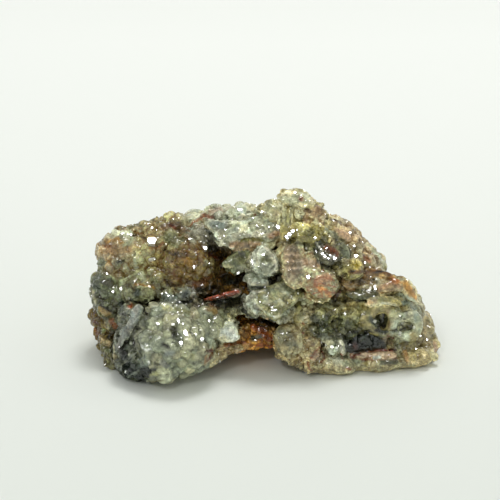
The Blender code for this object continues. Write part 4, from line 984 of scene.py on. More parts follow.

# Named stains, painted shade and painted highlights
# Rust, amber and milky spots are stains in the stone; the near-black holes, gaps, pits, slits and cracks are painted
# shade, and the white streaks and bright facet edges are painted highlights, each standing out in one place. Each is
# drawn along the pixels of the picture where it shows, is as wide as given in pixels, and sits on the skin that the
# camera sees there.
# The white below paints highlights, and the near black paints shade in holes, gaps, pits, slits and cracks.
CREAM, PALE, MILK, HIGHLIGHT_WHITE = "#dcd6ba", "#b9bea4", "#cfd4c0", "#f4f6ea"
BLUE_GREY, SLATE, TEAL, SHADE_BLACK = "#8a928e", "#565b50", "#29322d", "#17150d"
YELLOW, OLIVE, MOSS = "#968d52", "#75703c", "#4c492b"
AMBER, ORANGE, RUST, RED, BROWN = "#a07a3c", "#8f6034", "#733412", "#8c3c24", "#49331a"
PEACH, PINK, TAUPE = "#a98c66", "#ab8a72", "#84745f"
STREAKS = (
    ("cream lump", CREAM, 8, ((114, 233), (121, 232), (127, 236))),
    ("cream lump rim", PALE, 2, ((128, 228), (132, 236), (130, 243), (124, 245))),
    ("amber under the cream lump", AMBER, 3, ((106, 242), (112, 241), (118, 238), (121, 242))),
    ("orange shadow", ORANGE, 2.5, ((106, 246), (115, 247))),
    ("peach band", PEACH, 4, ((106, 251), (118, 251), (128, 250))),
    ("olive rim of the dome", OLIVE, 2, ((130, 228), (136, 224), (144, 226))),
    ("brown under the rim", BROWN, 1.5, ((132, 235), (140, 237), (146, 238))),
    ("brown grains", "#7a6248", 5, ((164, 228), (174, 225), (186, 231))),
    ("rust dots", RUST, 2, ((171, 225), (175, 228))),
    ("olive lump", "#8a8a68", 7, ((170, 238), (178, 243))),
    ("amber under the mirror", ORANGE, 1.8, ((150, 249), (158, 247), (163, 243))),
    ("brown arc", BROWN, 1.5, ((160, 252), (166, 250), (172, 255), (178, 253), (180, 257))),
    ("amber pocket", AMBER, 3.5, ((186, 260), (190, 263))),
    ("pink brown grains", "#8a6c50", 2, ((166, 258), (172, 262))),
    ("pale bar", PALE, 1.8, ((134, 260), (136, 268))),
    ("pale bar below", PALE, 2.2, ((142, 272), (144, 280))),
    ("pale left slope", "#8f9079", 5, ((96, 262), (104, 262))),
    ("dark knot above", SHADE_BLACK, 1.5, ((118, 262), (124, 261))),
    ("grey left slope", "#55584a", 4, ((96, 276), (97, 284))),
    ("dark knot", "#3e3a24", 4, ((105, 281), (112, 284))),
    ("teal pearl", TEAL, 5, ((137, 293),)),
    ("blue-black pearl", TEAL, 4, ((122, 303), (121, 309))),
    ("red-orange spot", "#9c4a20", 3, ((130, 306),)),
    ("low amber spots", AMBER, 1.5, ((135, 284), (150, 286), (154, 288))),
    ("brown gap", BROWN, 2, ((164, 280), (172, 283), (176, 286))),
    ("gap above the knob", SHADE_BLACK, 2, ((130, 300), (140, 303), (146, 301))),
    ("rust slope", "#6d4626", 5, ((196, 284), (204, 282), (212, 276))),
    ("dark slope", SHADE_BLACK, 3.5, ((198, 290), (206, 289), (214, 287))),
    ("slate facet", "#827e70", 7, ((198, 228), (203, 232), (208, 238))),
    ("shadow of the petal", "#3a3b33", 2.5, ((206, 229), (214, 236), (219, 240))),
    ("rust behind the facet", "#8a5a3c", 2.2, ((190, 226), (194, 222), (204, 216))),
    ("rust lump behind", "#7d4f35", 3.5, ((205, 215), (212, 217))),
    ("pinkish lump behind", "#cbb7a6", 4, ((212, 211), (220, 210))),
    ("grey lump behind", "#b9bba6", 6, ((186, 217), (194, 215))),
    ("cream strip", CREAM, 1.8, ((93, 291), (95, 303))),
    ("grey left edge", "#4c5448", 3, ((91, 285), (99, 288))),
    ("red floor of the upper hole", "#4e1f0e", 4, ((210, 255), (220, 259))),
    # The holes are painted near black: painted shade.
    ("upper hole", SHADE_BLACK, 5, ((210, 247), (220, 250), (226, 256))),
    ("black hole", SHADE_BLACK, 6, ((226, 277), (236, 280), (243, 276))),
    ("dark facet", "#3a4038", 2.5, ((225, 284), (232, 282))),
    ("red ledge line", RED, 1.0, ((203, 299), (212, 297), (222, 294), (232, 291.5), (240, 290))),
    ("pink end of the ledge", "#8a4030", 1.5, ((236, 291),)),
    ("floor of the split", "#5d5c45", 5, ((222, 306), (240, 304))),
    ("crack in the floor", SHADE_BLACK, 2, ((212, 303), (220, 301))),
    ("dark end of the floor", SHADE_BLACK, 3, ((243, 310), (248, 315))),
    ("bluish patch", "#7b837c", 5, ((214, 226), (222, 226))),
    ("milky petal", "#b7baa0", 6, ((236, 226), (250, 226), (262, 222))),
    ("milky crown", "#bfc3ab", 6, ((232, 210), (242, 209))),
    # Painted highlight.
    ("white crown", HIGHLIGHT_WHITE, 2.5, ((238, 209), (242, 211))),
    ("dark edge of the crown", "#3f3e2e", 1.4, ((215, 219), (222, 220), (228, 218))),
    ("tan petal fold", "#ab8d70", 3.5, ((232, 245), (246, 243), (258, 243))),
    ("olive petal fold", OLIVE, 2.5, ((242, 240), (252, 239), (262, 240))),
    ("pink petal end", "#a98a70", 3.5, ((271, 236), (277, 233))),
    ("petal rim", "#d5d8c4", 1.5, ((208, 226), (216, 236), (226, 246))),
    ("petal seam", "#8b8d74", 1.2, ((246, 216), (250, 224), (252, 232))),
    ("second petal seam", "#8b8d74", 1.2, ((262, 218), (264, 228))),
    ("pointed petal", "#6f7257", 5, ((232, 264), (244, 262))),
    ("pointed petal rim", "#a5a586", 1.5, ((224, 266), (236, 268), (247, 268))),
    ("pointed petal shadow", "#45452e", 2, ((236, 256), (244, 254))),
    ("olive pupil", "#6a6a3c", 4, ((264, 260),)),
    # Painted highlight on the column.
    ("white streak", HIGHLIGHT_WHITE, 1.3, ((252, 259), (252, 265))),
    ("pupil ray north", MILK, 1.2, ((258, 252), (262, 256))),
    ("pupil ray east", MILK, 1.2, ((270, 252), (266, 256))),
    ("pupil ray right", MILK, 1.2, ((272, 262), (268, 261))),
    ("pupil ray south", MILK, 1.2, ((258, 268), (262, 264))),
    ("pupil ray low", MILK, 1.2, ((268, 270), (266, 264))),
    ("glassy crack", "#5b5f4c", 1.2, ((255, 262), (259, 266))),
    ("glassy top crack", "#5b5f4c", 1.2, ((262, 249), (266, 251))),
    ("glassy side crack", "#5b5f4c", 1.2, ((274, 266), (270, 270))),
    ("hole beside the column", SHADE_BLACK, 3, ((274, 274), (282, 275))),
    ("column lip", "#c9ccb4", 2.3, ((249, 283), (258, 283), (267, 284))),
    ("slit under the lip", SHADE_BLACK, 1.8, ((251, 287), (259, 288), (266, 288))),
    ("lower lump", "#9a9e82", 5, ((275, 288), (288, 288))),
    ("lower facet left", MOSS, 1.8, ((258, 309), (266, 312))),
    ("lower facet middle", MOSS, 1.8, ((268, 300), (272, 306))),
    ("lower facet right", MOSS, 1.8, ((284, 300), (290, 306))),
    ("lower streak left", MILK, 1.4, ((264, 296), (270, 302))),
    ("lower streak middle", MILK, 1.4, ((276, 296), (282, 304))),
    ("lower streak right", MILK, 1.4, ((286, 292), (292, 298))),
    ("gap under the lower lump", SHADE_BLACK, 2, ((251, 318), (262, 320), (273, 321))),
    ("yellow saddle", "#8f8750", 4.5, ((297, 303), (299, 312), (297, 320))),
    ("peak cap", "#b7b493", 6, ((288, 198), (300, 200), (308, 204))),
    ("peak rim", "#cfcbb0", 2, ((300, 193), (308, 196), (313, 202))),
    ("peak spot", "#96614a", 2.8, ((301, 199),)),
    ("brown under the rim of the peak", BROWN, 2.3, ((306, 209), (310, 212))),
    ("left peak lump", "#a09b78", 5, ((268, 206), (276, 212))),
    ("red spot on the crown", "#7d4030", 2, ((256, 215),)),
    ("rib line left", "#6a6742", 1.1, ((281, 208), (282, 224))),
    ("rib line middle", "#6a6742", 1.1, ((286, 207), (286, 226))),
    ("rib line right", "#6a6742", 1.1, ((291, 209), (290, 224))),
    ("rib left", "#c0bb92", 1.5, ((284, 208), (284, 224))),
    ("rib right", "#c0bb92", 1.5, ((288.5, 208), (288, 224))),
    ("yellow hollow", YELLOW, 5, ((286, 230), (298, 236), (312, 240))),
    ("moss in the yellow hollow", "#5a5426", 2, ((284, 238), (292, 242), (302, 244))),
    ("moss ring", "#5a5426", 1.2, ((305, 230), (309, 228), (313, 232), (310, 236), (306, 235), (305, 230))),
    ("pale pearl", "#b9bc98", 3, ((316, 222),)),
    ("taupe slab", TAUPE, 7, ((290, 250), (296, 262), (292, 276))),
    ("pink corner", "#a48a74", 5, ((306, 262), (316, 264))),
    ("slab layer first", "#7c6a54", 0.9, ((284, 252), (300, 250))),
    ("slab layer second", "#7c6a54", 0.9, ((283, 258), (302, 257))),
    ("slab layer third", "#7c6a54", 0.9, ((284, 265), (304, 265))),
    ("slab layer fourth", "#7c6a54", 0.9, ((286, 272), (303, 272))),
    ("slab layer fifth", "#7c6a54", 0.9, ((289, 279), (302, 280))),
    ("slab light first", "#bba692", 1.2, ((285, 255), (301, 254))),
    ("slab light second", "#bba692", 1.2, ((285, 262), (303, 261))),
    ("slab light third", "#bba692", 1.2, ((286, 269), (303, 268))),
    ("disc", "#ac8468", 5, ((318, 280), (328, 278))),
    ("disc orange", "#b07a48", 2.3, ((318, 287), (326, 290), (330, 296))),
    ("disc layer first", "#84563c", 1.1, ((312, 282), (322, 277), (334, 280))),
    ("disc layer second", "#84563c", 1.1, ((310, 288), (322, 284), (336, 287))),
    ("disc layer third", "#84563c", 1.1, ((312, 294), (324, 291), (335, 293))),
    ("crevice under the disc", "#4a1a10", 2.3, ((331, 298), (337, 295), (340, 291))),
    ("eye lower lid", TEAL, 1.8, ((314, 252), (317, 260), (324, 266), (332, 267))),
    ("eye crescent", "#7d8068", 3, ((342, 241), (347, 248), (347, 257))),
    ("shoulder ridge", "#42301c", 2, ((326, 219), (333, 219), (340, 222))),
    ("pink shoulder", "#a98f76", 5, ((340, 231), (348, 236))),
    ("green shoulder", "#80826a", 4.5, ((328, 230), (336, 236))),
    ("shoulder spot", BROWN, 2.3, ((360, 240),)),
    ("clear shoulder edge", "#bfc2aa", 2.8, ((366, 243), (374, 250), (382, 260), (388, 267))),
    ("orange shoulder streak", "#b07a5a", 2.3, ((364, 257), (369, 261))),
    ("olive shoulder lump", "#a09448", 4.5, ((355, 265),)),
    ("brown strip", "#6b4a2c", 2.5, ((350, 272), (365, 272), (380, 271), (390, 274))),
    ("strip dots", SHADE_BLACK, 1.3, ((377, 272), (383, 271))),
    ("strip dot left", SHADE_BLACK, 1.3, ((351, 271), (355, 272))),
    ("dark layer", "#54462c", 3, ((352, 281), (364, 281), (374, 280))),
    ("cream layer line", "#cdbf9c", 1.1, ((350, 287), (358, 287), (368, 287))),
    ("olive layer", "#6e6b4e", 3.5, ((350, 293), (362, 293), (371, 292))),
    ("pink ridge", "#b08c6c", 2, ((379, 289), (386, 285), (394, 283), (400, 287))),
    ("hole in the ridge", SHADE_BLACK, 2, ((395, 287),)),
    ("orange ledge", "#9d6132", 3, ((391, 279), (398, 281))),
    ("amber ledge end", "#a47a3e", 4.5, ((406, 284), (411, 292), (414, 298))),
    ("green lump", "#868a6e", 5, ((336, 324),)),
    ("small arch", "#b2b394", 1.5, ((332, 308), (334, 303), (340, 303), (344, 308))),
    ("hole between lumps", SHADE_BLACK, 2, ((365, 316),)),
    ("crack above the lumps", SHADE_BLACK, 1.2, ((345, 301), (350, 301))),
    ("second crack above the lumps", SHADE_BLACK, 1.2, ((358, 301), (366, 301))),
    ("dark glass", "#3f4433", 5.5, ((314, 318), (322, 326), (328, 318))),
    ("rust dot upper", "#6d3018", 2, ((303, 324),)),
    ("rust dot lower", "#6d3018", 2, ((303, 333),)),
    ("pale facets", "#a9ab90", 3.3, ((328, 343), (333, 347))),
    ("green rim", "#4d4f3e", 3, ((382, 362), (396, 362))),
    ("yellow rim spot", "#a89a4c", 2.3, ((366, 364),)),
    ("rim crack", RUST, 1.1, ((341, 354), (344, 362))),
    ("second rim crack", RUST, 1.1, ((345, 366), (351, 370))),
    ("pink foot plate", "#b2957a", 3.8, ((314, 358), (319, 354))),
    ("rust outline", RUST, 1.2, ((310, 358), (315, 352), (320, 347), (322, 352), (325, 358), (320, 363))),
    ("rust outline below", RUST, 1.2, ((308, 362), (309, 368), (313, 373))),
    ("grey-green lump", "#827d62", 7, ((282, 335), (290, 345))),
    ("cream bottom rim", "#c4b894", 1.9, ((268, 353), (282, 362), (296, 370), (308, 373))),
    ("pink end", "#bb9c84", 3.5, ((434, 344), (436, 350))),
    ("end dots", SHADE_BLACK, 1.3, ((430, 330),)),
    ("upper end dots", SHADE_BLACK, 1.3, ((429, 322),)),
    ("orange end", "#c8a374", 2.3, ((405, 351), (407, 360))),
    ("clear end", "#c9c3a2", 3.5, ((434, 354), (438, 362))),
    ("red bridge", "#7d3a18", 5, ((252, 325), (262, 330), (270, 340))),
    ("rust bridge foot", "#8b4a20", 4, ((258, 345), (272, 347))),
    ("teal in the bridge", "#2f3a33", 3.5, ((252, 338), (260, 338))),
    ("orange bridge edge", ORANGE, 2, ((245, 330), (250, 334))),
    ("gap over the bridge", SHADE_BLACK, 2, ((262, 322), (272, 324))),
    # Painted shade in the gaps between the knob's bubbles.
    ("knob gap first", "#2c3124", 2.1, ((163, 316),)),
    ("knob gap second", "#2c3124", 2.1, ((193, 364),)),
    ("knob gap third", "#2c3124", 2.1, ((194, 369),)),
    ("knob gap fourth", "#2c3124", 2.1, ((173, 368),)),
    ("knob gap fifth", "#2c3124", 2.1, ((158, 365),)),
    ("knob gap sixth", "#2c3124", 2.1, ((145, 357),)),
    ("yellow knob spot", "#8b8a46", 2.3, ((143, 358),)),
    # Painted highlight on a knob bubble.
    ("white knob spot", "#c8ccba", 2.3, ((148, 362),)),
    ("tan knob shoulder", "#8c7850", 3.5, ((208, 308), (216, 312))),
    ("white patch", "#dfe3d3", 4.5, ((222, 332), (230, 332), (234, 337))),
    ("pale shoulder bubble", "#aeb49a", 4, ((226, 320),)),
    ("rust tail band", "#8a4e22", 2.3, ((226, 345), (236, 343), (245, 342))),
    ("cream tail edge", "#bba386", 2.3, ((214, 366), (228, 359), (241, 351))),
    ("grey crown", "#7f8880", 4.5, ((164, 297), (176, 298), (190, 292))),
    ("blue-black crown", "#2d3634", 2.8, ((186, 293), (184, 297))),
    ("crown ring", "#a1a79a", 1.5, ((180, 290), (186, 287), (193, 290), (196, 297))),
    # Painted shade in the gap under the crown.
    ("gap under the crown", "#242a26", 2.8, ((176, 303), (184, 302), (190, 301))),
    ("lavender leaf", "#8f9291", 3.8, ((136, 308), (134, 318), (127, 328), (121, 338), (118, 346))),
    ("heel slit", SHADE_BLACK, 3, ((120, 352), (123, 345), (126, 341))),
    ("lower heel slit", SHADE_BLACK, 3, ((122, 358), (126, 352))),
    ("leaf edge", "#b9bcae", 1.3, ((141, 330), (135, 336), (131, 343), (129, 350), (129, 356))),
    ("gap behind the leaf edge", SHADE_BLACK, 2.6, ((134, 339), (133, 345))),
    ("grey grains", "#5f6556", 4, ((142, 318), (146, 326))),
    ("grain gap first", SHADE_BLACK, 1.8, ((143, 311), (147, 314))),
    ("grain gap second", SHADE_BLACK, 1.8, ((137, 329), (141, 328))),
    ("beige heel line", "#a69c7c", 1.1, ((114, 345), (114, 352), (113, 368))),
    ("teal heel", "#1c2422", 7, ((124, 362), (134, 368), (128, 376))),
    ("blue-black heel", "#161c1f", 6, ((142, 370), (154, 373), (142, 378))),
    ("green heel band", "#a3a77e", 2.6, ((152, 376), (160, 372), (166, 368))),
    ("heel bottom edge", "#6f6a50", 2, ((118, 378), (130, 384), (146, 384), (160, 380))),
    ("red foot spot", "#4a2010", 2, ((94, 313),)),
    ("lower red foot spot", "#4a2010", 2, ((93, 321), (97, 323))),
    ("amber foot lumps", "#a98f5c", 4, ((100, 309), (107, 314))),
    ("foot crack", SHADE_BLACK, 1.5, ((100, 305), (110, 311), (120, 314), (126, 315))),
    ("green foot light", "#9fae86", 2.8, ((103, 331),)),
    ("orange foot", "#7f4a1e", 3.8, ((112, 321), (117, 328))),
    ("orange foot left", "#7f4a1e", 3, ((95, 328), (97, 334))),
    ("foot arc", SHADE_BLACK, 1.5, ((107, 339), (111, 333))),
    ("tan foot", "#a3926c", 4, ((101, 338), (108, 343))),
    ("heel line first", "#8d958c", 1.1, ((124, 349), (132, 344))),
    ("heel line second", "#8d958c", 1.1, ((128, 357), (138, 352))),
    ("heel line third", "#7d857c", 1.1, ((133, 362), (146, 357))),
    ("heel line fourth", "#8d958c", 1.1, ((120, 366), (127, 360))),
    ("heel line fifth", "#7d857c", 1.1, ((138, 367), (150, 364))),
    ("heel line sixth", "#8d958c", 1.1, ((127, 377), (138, 371))),
    ("heel line seventh", "#7d857c", 1.1, ((146, 381), (156, 376))),
    ("knob top", "#b0b497", 5, ((163, 322), (172, 320))),
    ("yellow knob cap", "#a9a67c", 3.5, ((162, 306), (170, 308))),
    ("knob middle", "#bbbfa6", 5, ((184, 328), (188, 336))),
    ("knob middle left", "#a3a78c", 5, ((156, 334), (164, 334))),
    # Painted shade in the knob's pits, wedge and crack.
    ("knob pit", "#3a3c26", 4.2, ((173, 330), (176, 335))),
    ("knob pit middle", SHADE_BLACK, 2.4, ((174, 334),)),
    ("knob wedge", SHADE_BLACK, 2.2, ((163, 344), (168, 347))),
    ("knob crack", "#2a2f26", 1.3, ((173, 342), (177, 346))),
    ("knob shadow", "#6f735c", 2.5, ((180, 338), (178, 344))),
    ("knob blue spot", "#868c8a", 3, ((166, 353), (172, 353))),
    ("lower knob blue spot", "#8f9592", 3.5, ((163, 362), (167, 366))),
    # The bubble's white rim is a painted highlight.
    ("ring bubble", HIGHLIGHT_WHITE, 1.1, ((140, 343), (142, 348), (146, 350), (151, 349))),
    ("ring bubble top", PALE, 1.1, ((141, 341), (146, 340), (151, 342))),
    ("ring bubble middle", "#7d8272", 2.3, ((145, 344), (148, 345))),
    ("pale bubble under the knob", "#c3c8ae", 2.8, ((160, 371), (169, 371))),
    ("pale band under the knob", "#bdc2a8", 1.6, ((182, 378), (191, 381), (199, 377))),
    ("pale knob bubble low", "#b4b89c", 4.5, ((182, 364), (192, 372))),
    ("pale knob bubble", "#b0b496", 4, ((184, 354), (192, 357))),
    # Painted shade in a gap between bubbles.
    ("olive knob gap", "#3d3f28", 2, ((155, 363), (157, 365))),
    ("rust knob spot", "#4f1808", 2.2, ((207, 351), (213, 351), (211, 356), (208, 361))),
    ("brown beside the rust spot", "#8a6f4c", 1.8, ((206, 356), (205, 364))),
    ("knob right bubbles", "#8d917a", 4.5, ((203, 318), (209, 327))),
    # Painted shade in a gap between bubbles.
    ("dark bubble gap", "#565a46", 1.5, ((198, 324), (200, 334))),
    ("band over the knob", "#87835e", 2.5, ((176, 309), (190, 313))),
    ("pale facets over the knob", "#a7ab98", 2.3, ((150, 304), (160, 308))),
    ("grey knob corner", "#5c6256", 4.5, ((144, 322),)),
    ("dark knob corner", "#363c36", 2.3, ((143, 312),)),
    ("pink swirl top", "#b39c78", 2.8, ((368, 302), (376, 301))),
    ("yellow swirl band", "#96915c", 3, ((380, 300), (390, 299), (399, 303))),
    # Painted highlight where the swirl catches the light.
    ("cream swirl light", "#d9d8c0", 1.5, ((382, 303), (388, 304))),
    ("left roll top", "#a69f72", 3, ((364, 310), (370, 308), (377, 309))),
    ("left roll light", "#b8b084", 2, ((362, 318), (368, 316), (375, 315))),
    ("left roll foot", "#979468", 2.5, ((361, 323), (366, 328), (372, 333), (380, 336))),
    # Painted shade in the left roll's bowl, eye and foot.
    ("left roll bowl", "#3b443b", 3, ((370, 319), (378, 326))),
    ("left swirl eye", SHADE_BLACK, 2.2, ((384, 314), (384, 321))),
    ("left swirl eye low", SHADE_BLACK, 2.4, ((380, 326), (385, 326))),
    ("left swirl foot", "#222a26", 2.2, ((379, 331), (387, 332))),
    ("brown wall in the swirl", "#8b7a5e", 1.8, ((389, 311), (389, 328))),
    ("right roll side", "#aeb294", 3, ((391, 318), (393, 312), (399, 309))),
    ("blue-grey roll", "#98a49c", 3.5, ((404, 303), (411, 304), (416, 312), (417, 320))),
    ("right roll edge", "#a8b09c", 2.8, ((419, 318), (418, 330), (411, 338))),
    ("right roll foot", "#babda2", 2.8, ((392, 336), (398, 340), (406, 340))),
    # Painted highlights on the right roll.
    ("right roll heart", "#cfd3bf", 2.3, ((402, 321), (405, 324))),
    ("right roll white", "#cdd1ba", 2.3, ((399, 334), (401, 333))),
    # Painted shade in the holes of the roll.
    ("roll hole first", SHADE_BLACK, 1.5, ((403, 312), (407, 311))),
    ("roll hole second", SHADE_BLACK, 1.6, ((405, 319),)),
    ("roll hole third", SHADE_BLACK, 2.2, ((393, 330), (396, 330))),
    ("roll hole fourth", SHADE_BLACK, 1.7, ((400, 330), (405, 328))),
    ("olive roll shadow", "#5d624a", 1.8, ((411, 326), (412, 330))),
    ("pale corner above the roll", "#b7bfae", 2.3, ((400, 294), (408, 298), (416, 303))),
    # The recess and the lines round it are painted near black: painted shade, apart from its light and its rust.
    ("black line over the recess", SHADE_BLACK, 2, ((350, 332), (366, 331), (379, 330))),
    ("recess", "#1c2320", 4.2, ((354, 338), (366, 338), (380, 339))),
    ("lower recess", "#171d1b", 4, ((354, 345), (366, 345), (376, 345))),
    ("recess light", "#47524c", 1.4, ((360, 337), (366, 335), (362, 340))),
    ("rust in the recess", "#3a1a0e", 2.6, ((355, 344), (356, 349))),
    ("black foot of the recess", SHADE_BLACK, 2, ((355, 352), (364, 350), (374, 349))),
    ("pinkish facet", "#847a68", 3, ((385, 339), (391, 343))),
    ("red nick", "#6a2414", 1.2, ((388, 336), (393, 338))),
    ("red line", "#7a3018", 1.4, ((351, 358), (354, 356), (360, 353))),
    ("red line right", "#6e2414", 1.2, ((376, 350), (392, 350.5))),
    ("dark end of the red line", "#3f1006", 1.7, ((390, 349), (395, 350))),
    ("cream rim edge", "#cdb39a", 1.5, ((362, 354.5), (372, 353), (384, 353.5), (395, 356))),
    ("dark facet beside the recess", "#2f3632", 3.2, ((344, 336), (347, 350))),
    # Painted highlight on a facet edge.
    ("white facet edge", HIGHLIGHT_WHITE, 1.1, ((340, 343), (342, 352))),
    ("green rim left", "#969b82", 3.8, ((345, 364), (358, 362))),
    ("blue-white rim spot", "#b4bab2", 2, ((374, 358), (379, 357))),
    ("yellow end", "#9e956a", 4.5, ((414, 336), (412, 348), (414, 358))),
    ("tan end", "#a89a7a", 5, ((425, 326), (430, 344))),
    ("grey lump", "#555748", 4.2, ((348, 325),)),
    ("yellow lump", "#948b5c", 3.8, ((361, 323), (364, 327))),
    ("eye rust", "#6e3a1c", 4.5, ((327, 248), (331, 250), (335, 254))),
    # The eye's white crescents are painted highlights.
    ("eye white upper", HIGHLIGHT_WHITE, 1.8, ((316, 243), (319, 247), (322, 250))),
    ("eye white lower", HIGHLIGHT_WHITE, 1.8, ((321, 253), (325, 257), (330, 259))),
    ("eye white right", HIGHLIGHT_WHITE, 1.6, ((330, 255), (334, 257), (336, 260))),
    ("eye pearl", "#a9ab8a", 3.2, ((307, 248),)),
    # The white streaks along the column are painted highlights.
    ("column streak left", HIGHLIGHT_WHITE, 1.1, ((251, 256), (253, 262), (254, 268))),
    ("column streak top", "#d9dcca", 1.1, ((259, 251), (265, 248), (271, 250))),
    ("column streak right", "#d9dcca", 1.1, ((273, 254), (276, 260), (276, 267))),
    ("column heart", "#5d6148", 3, ((265, 257), (270, 261))),
    ("column facet", "#c3c7b2", 2.3, ((257, 262), (258, 270))),
    # The bright lens edges are painted highlights, and the dark line between them is painted shade.
    ("lens edge upper", "#dfe2d0", 1.1, ((248, 284), (256, 282), (265, 283))),
    ("lens edge lower", "#dfe2d0", 1.1, ((248, 290), (257, 292), (266, 290))),
    ("lens middle", "#343a2c", 1.5, ((251, 287), (258, 287), (265, 287))),
    # The bright edge of the lower lump is a painted highlight.
    ("lower lump edge", "#cdd1bc", 1.1, ((255, 298), (258, 306), (265, 312), (274, 318), (281, 315))),
    ("lower lump fan left", "#c3c7b2", 1.1, ((270, 304), (262, 296))),
    ("lower lump fan right", "#c3c7b2", 1.1, ((276, 302), (284, 292))),
)
STREAK_STRENGTH = 0.95
STREAK_GAIN = 1.3  # the glassy skin shows its colour darker than it is
stain_points = kdtree.KDTree(len(points))
for i, point in enumerate(points):
    stain_points.insert(point, i)
stain_points.balance()
for name, colour, width, path in STREAKS:
    reach = width * PIXEL
    places = [np.array(path[0], float)]
    for start, end in zip(path, path[1:]):
        start, end = np.array(start, float), np.array(end, float)
        steps = max(1, int(np.linalg.norm(end - start) / (0.5 * width)))
        places += [start + (end - start) * (k + 1) / steps for k in range(steps)]
    shares = {}
    for place in places:
        hit = tree.ray_cast(eye, sight_line(*place))[0]
        if hit is not None:
            for near_point, i, distance in stain_points.find_range(hit, 1.3 * reach):
                share = min(1, max(0, (1.3 - distance / reach) / 0.6))
                shares[i] = max(shares.get(i, 0), share)
    painted = np.array(list(shares), int)
    share = STREAK_STRENGTH * np.array(list(shares.values()))
    paint = np.minimum(0.9, STREAK_GAIN * np.array(linear(colour)))
    tint[painted] += (paint - tint[painted]) * share[:, None]
    # The creases under a streak get a darker copy of its colour: painted shade.
    crease_rust_and_shade[painted] += (paint * 0.6 - crease_rust_and_shade[painted]) * share[:, None]
    sugar[painted] *= 1 - 0.4 * share
    crease[painted] *= 1 - 0.6 * share

warmth = np.sin(tone * 37)[:, None]
tint *= np.array(IRON_TINGE) * (1 + warmth * WARM_SHIFT)
# The mirror chips are painted white: painted highlight, on top of the lamp's reflection.
tint[is_mirror] = linear(HIGHLIGHT_WHITE)
crease_rust_and_shade[is_mirror] = linear(MILK)
sugar[is_mirror] = crease[is_mirror] = 0
shade[is_mirror] = 1

for name, colours in (("tint", tint), ("crease_rust_and_shade", crease_rust_and_shade)):
    layer = mesh.color_attributes.new(name, "FLOAT_COLOR", "POINT")
    layer.data.foreach_set("color", np.hstack([colours, np.ones((len(colours), 1))]).ravel())
values_by_name = {"clear": clear, "sugar": sugar, "tone": tone, "crease": crease, "shade": shade}
for name, values in values_by_name.items():
    layer = mesh.attributes.new(name, "FLOAT", "POINT")
    layer.data.foreach_set("value", values)


# Polished-by-nature chalcedony: waxy, partly see-through, rusty and painted with shade in the creases and hollows
def add_node(tree, kind, links=None, **settings):
    """Adds a shader node. settings set its properties, links its inputs: a value or a socket."""
    node = tree.nodes.new(kind)
    for name, value in settings.items():
        setattr(node, name, value)
    for name, value in (links or {}).items():
        if isinstance(value, bpy.types.NodeSocket):
            tree.links.new(value, node.inputs[name])
        else:
            node.inputs[name].default_value = value
    return node


def rgba(colour):
    return (*linear(colour), 1)


def mix_colours(tree, share, first, second, blend="MIX"):
    node = tree.nodes.new("ShaderNodeMix")
    node.data_type = "RGBA"
    node.blend_type = blend
    node.clamp_factor = True
    for socket, value in ((node.inputs[0], share), (node.inputs[6], first), (node.inputs[7], second)):
        if isinstance(value, bpy.types.NodeSocket):
            tree.links.new(value, socket)
        else:
            socket.default_value = value
    return node.outputs[2]


def remap(tree, value, low, high, to_low=0.0, to_high=1.0):
    spans = {"Value": value, "From Min": low, "From Max": high, "To Min": to_low, "To Max": to_high}
    return add_node(tree, "ShaderNodeMapRange", spans, clamp=True).outputs["Result"]


def sum_of(tree, operation, first, second):
    node = tree.nodes.new("ShaderNodeMath")
    node.operation = operation
    for socket, value in zip(node.inputs, (first, second)):
        if isinstance(value, bpy.types.NodeSocket):
            tree.links.new(value, socket)
        else:
            socket.default_value = value
    return node.outputs[0]


chalcedony = bpy.data.materials.new("waxy chalcedony")
chalcedony.use_nodes = True
nodes = chalcedony.node_tree
nodes.nodes.clear()
place = add_node(nodes, "ShaderNodeTexCoord").outputs["Object"]
tint_value = add_node(nodes, "ShaderNodeAttribute", attribute_name="tint").outputs["Color"]
clear_value = add_node(nodes, "ShaderNodeAttribute", attribute_name="clear").outputs["Fac"]
tone_value = add_node(nodes, "ShaderNodeAttribute", attribute_name="tone").outputs["Fac"]
near_value = add_node(nodes, "ShaderNodeAttribute", attribute_name="crease").outputs["Fac"]
shade_value = add_node(nodes, "ShaderNodeAttribute", attribute_name="shade").outputs["Fac"]
crease_value = add_node(nodes, "ShaderNodeAttribute", attribute_name="crease_rust_and_shade").outputs["Color"]
sugar_value = add_node(nodes, "ShaderNodeAttribute", attribute_name="sugar").outputs["Fac"]
clouds = add_node(nodes, "ShaderNodeTexNoise", {"Vector": place, "Scale": 420, "Detail": 5, "Roughness": 0.65}).outputs["Fac"]
mottle = add_node(nodes, "ShaderNodeTexNoise", {"Vector": place, "Scale": 900, "Detail": 5, "Roughness": 0.75}).outputs["Fac"]
fine_noise = add_node(nodes, "ShaderNodeTexNoise", {"Vector": place, "Scale": 1900, "Detail": 3, "Roughness": 0.7})
fine_clouds = fine_noise.outputs["Fac"]
drift = add_node(nodes, "ShaderNodeVectorMath", {0: fine_noise.outputs["Color"], "Scale": 0.0008}, operation="SCALE").outputs[0]
drifted = add_node(nodes, "ShaderNodeVectorMath", {0: place, 1: drift}, operation="ADD").outputs[0]
cells = add_node(nodes, "ShaderNodeTexVoronoi", {"Vector": drifted, "Scale": 1150}, feature="F1")
cell_parts = add_node(nodes, "ShaderNodeSeparateColor", {"Color": cells.outputs["Color"]})
borders = add_node(nodes, "ShaderNodeTexVoronoi", {"Vector": drifted, "Scale": 700}, feature="DISTANCE_TO_EDGE").outputs["Distance"]


def grey(value):
    return add_node(nodes, "ShaderNodeCombineColor", {"Red": value, "Green": value, "Blue": value}).outputs["Color"]


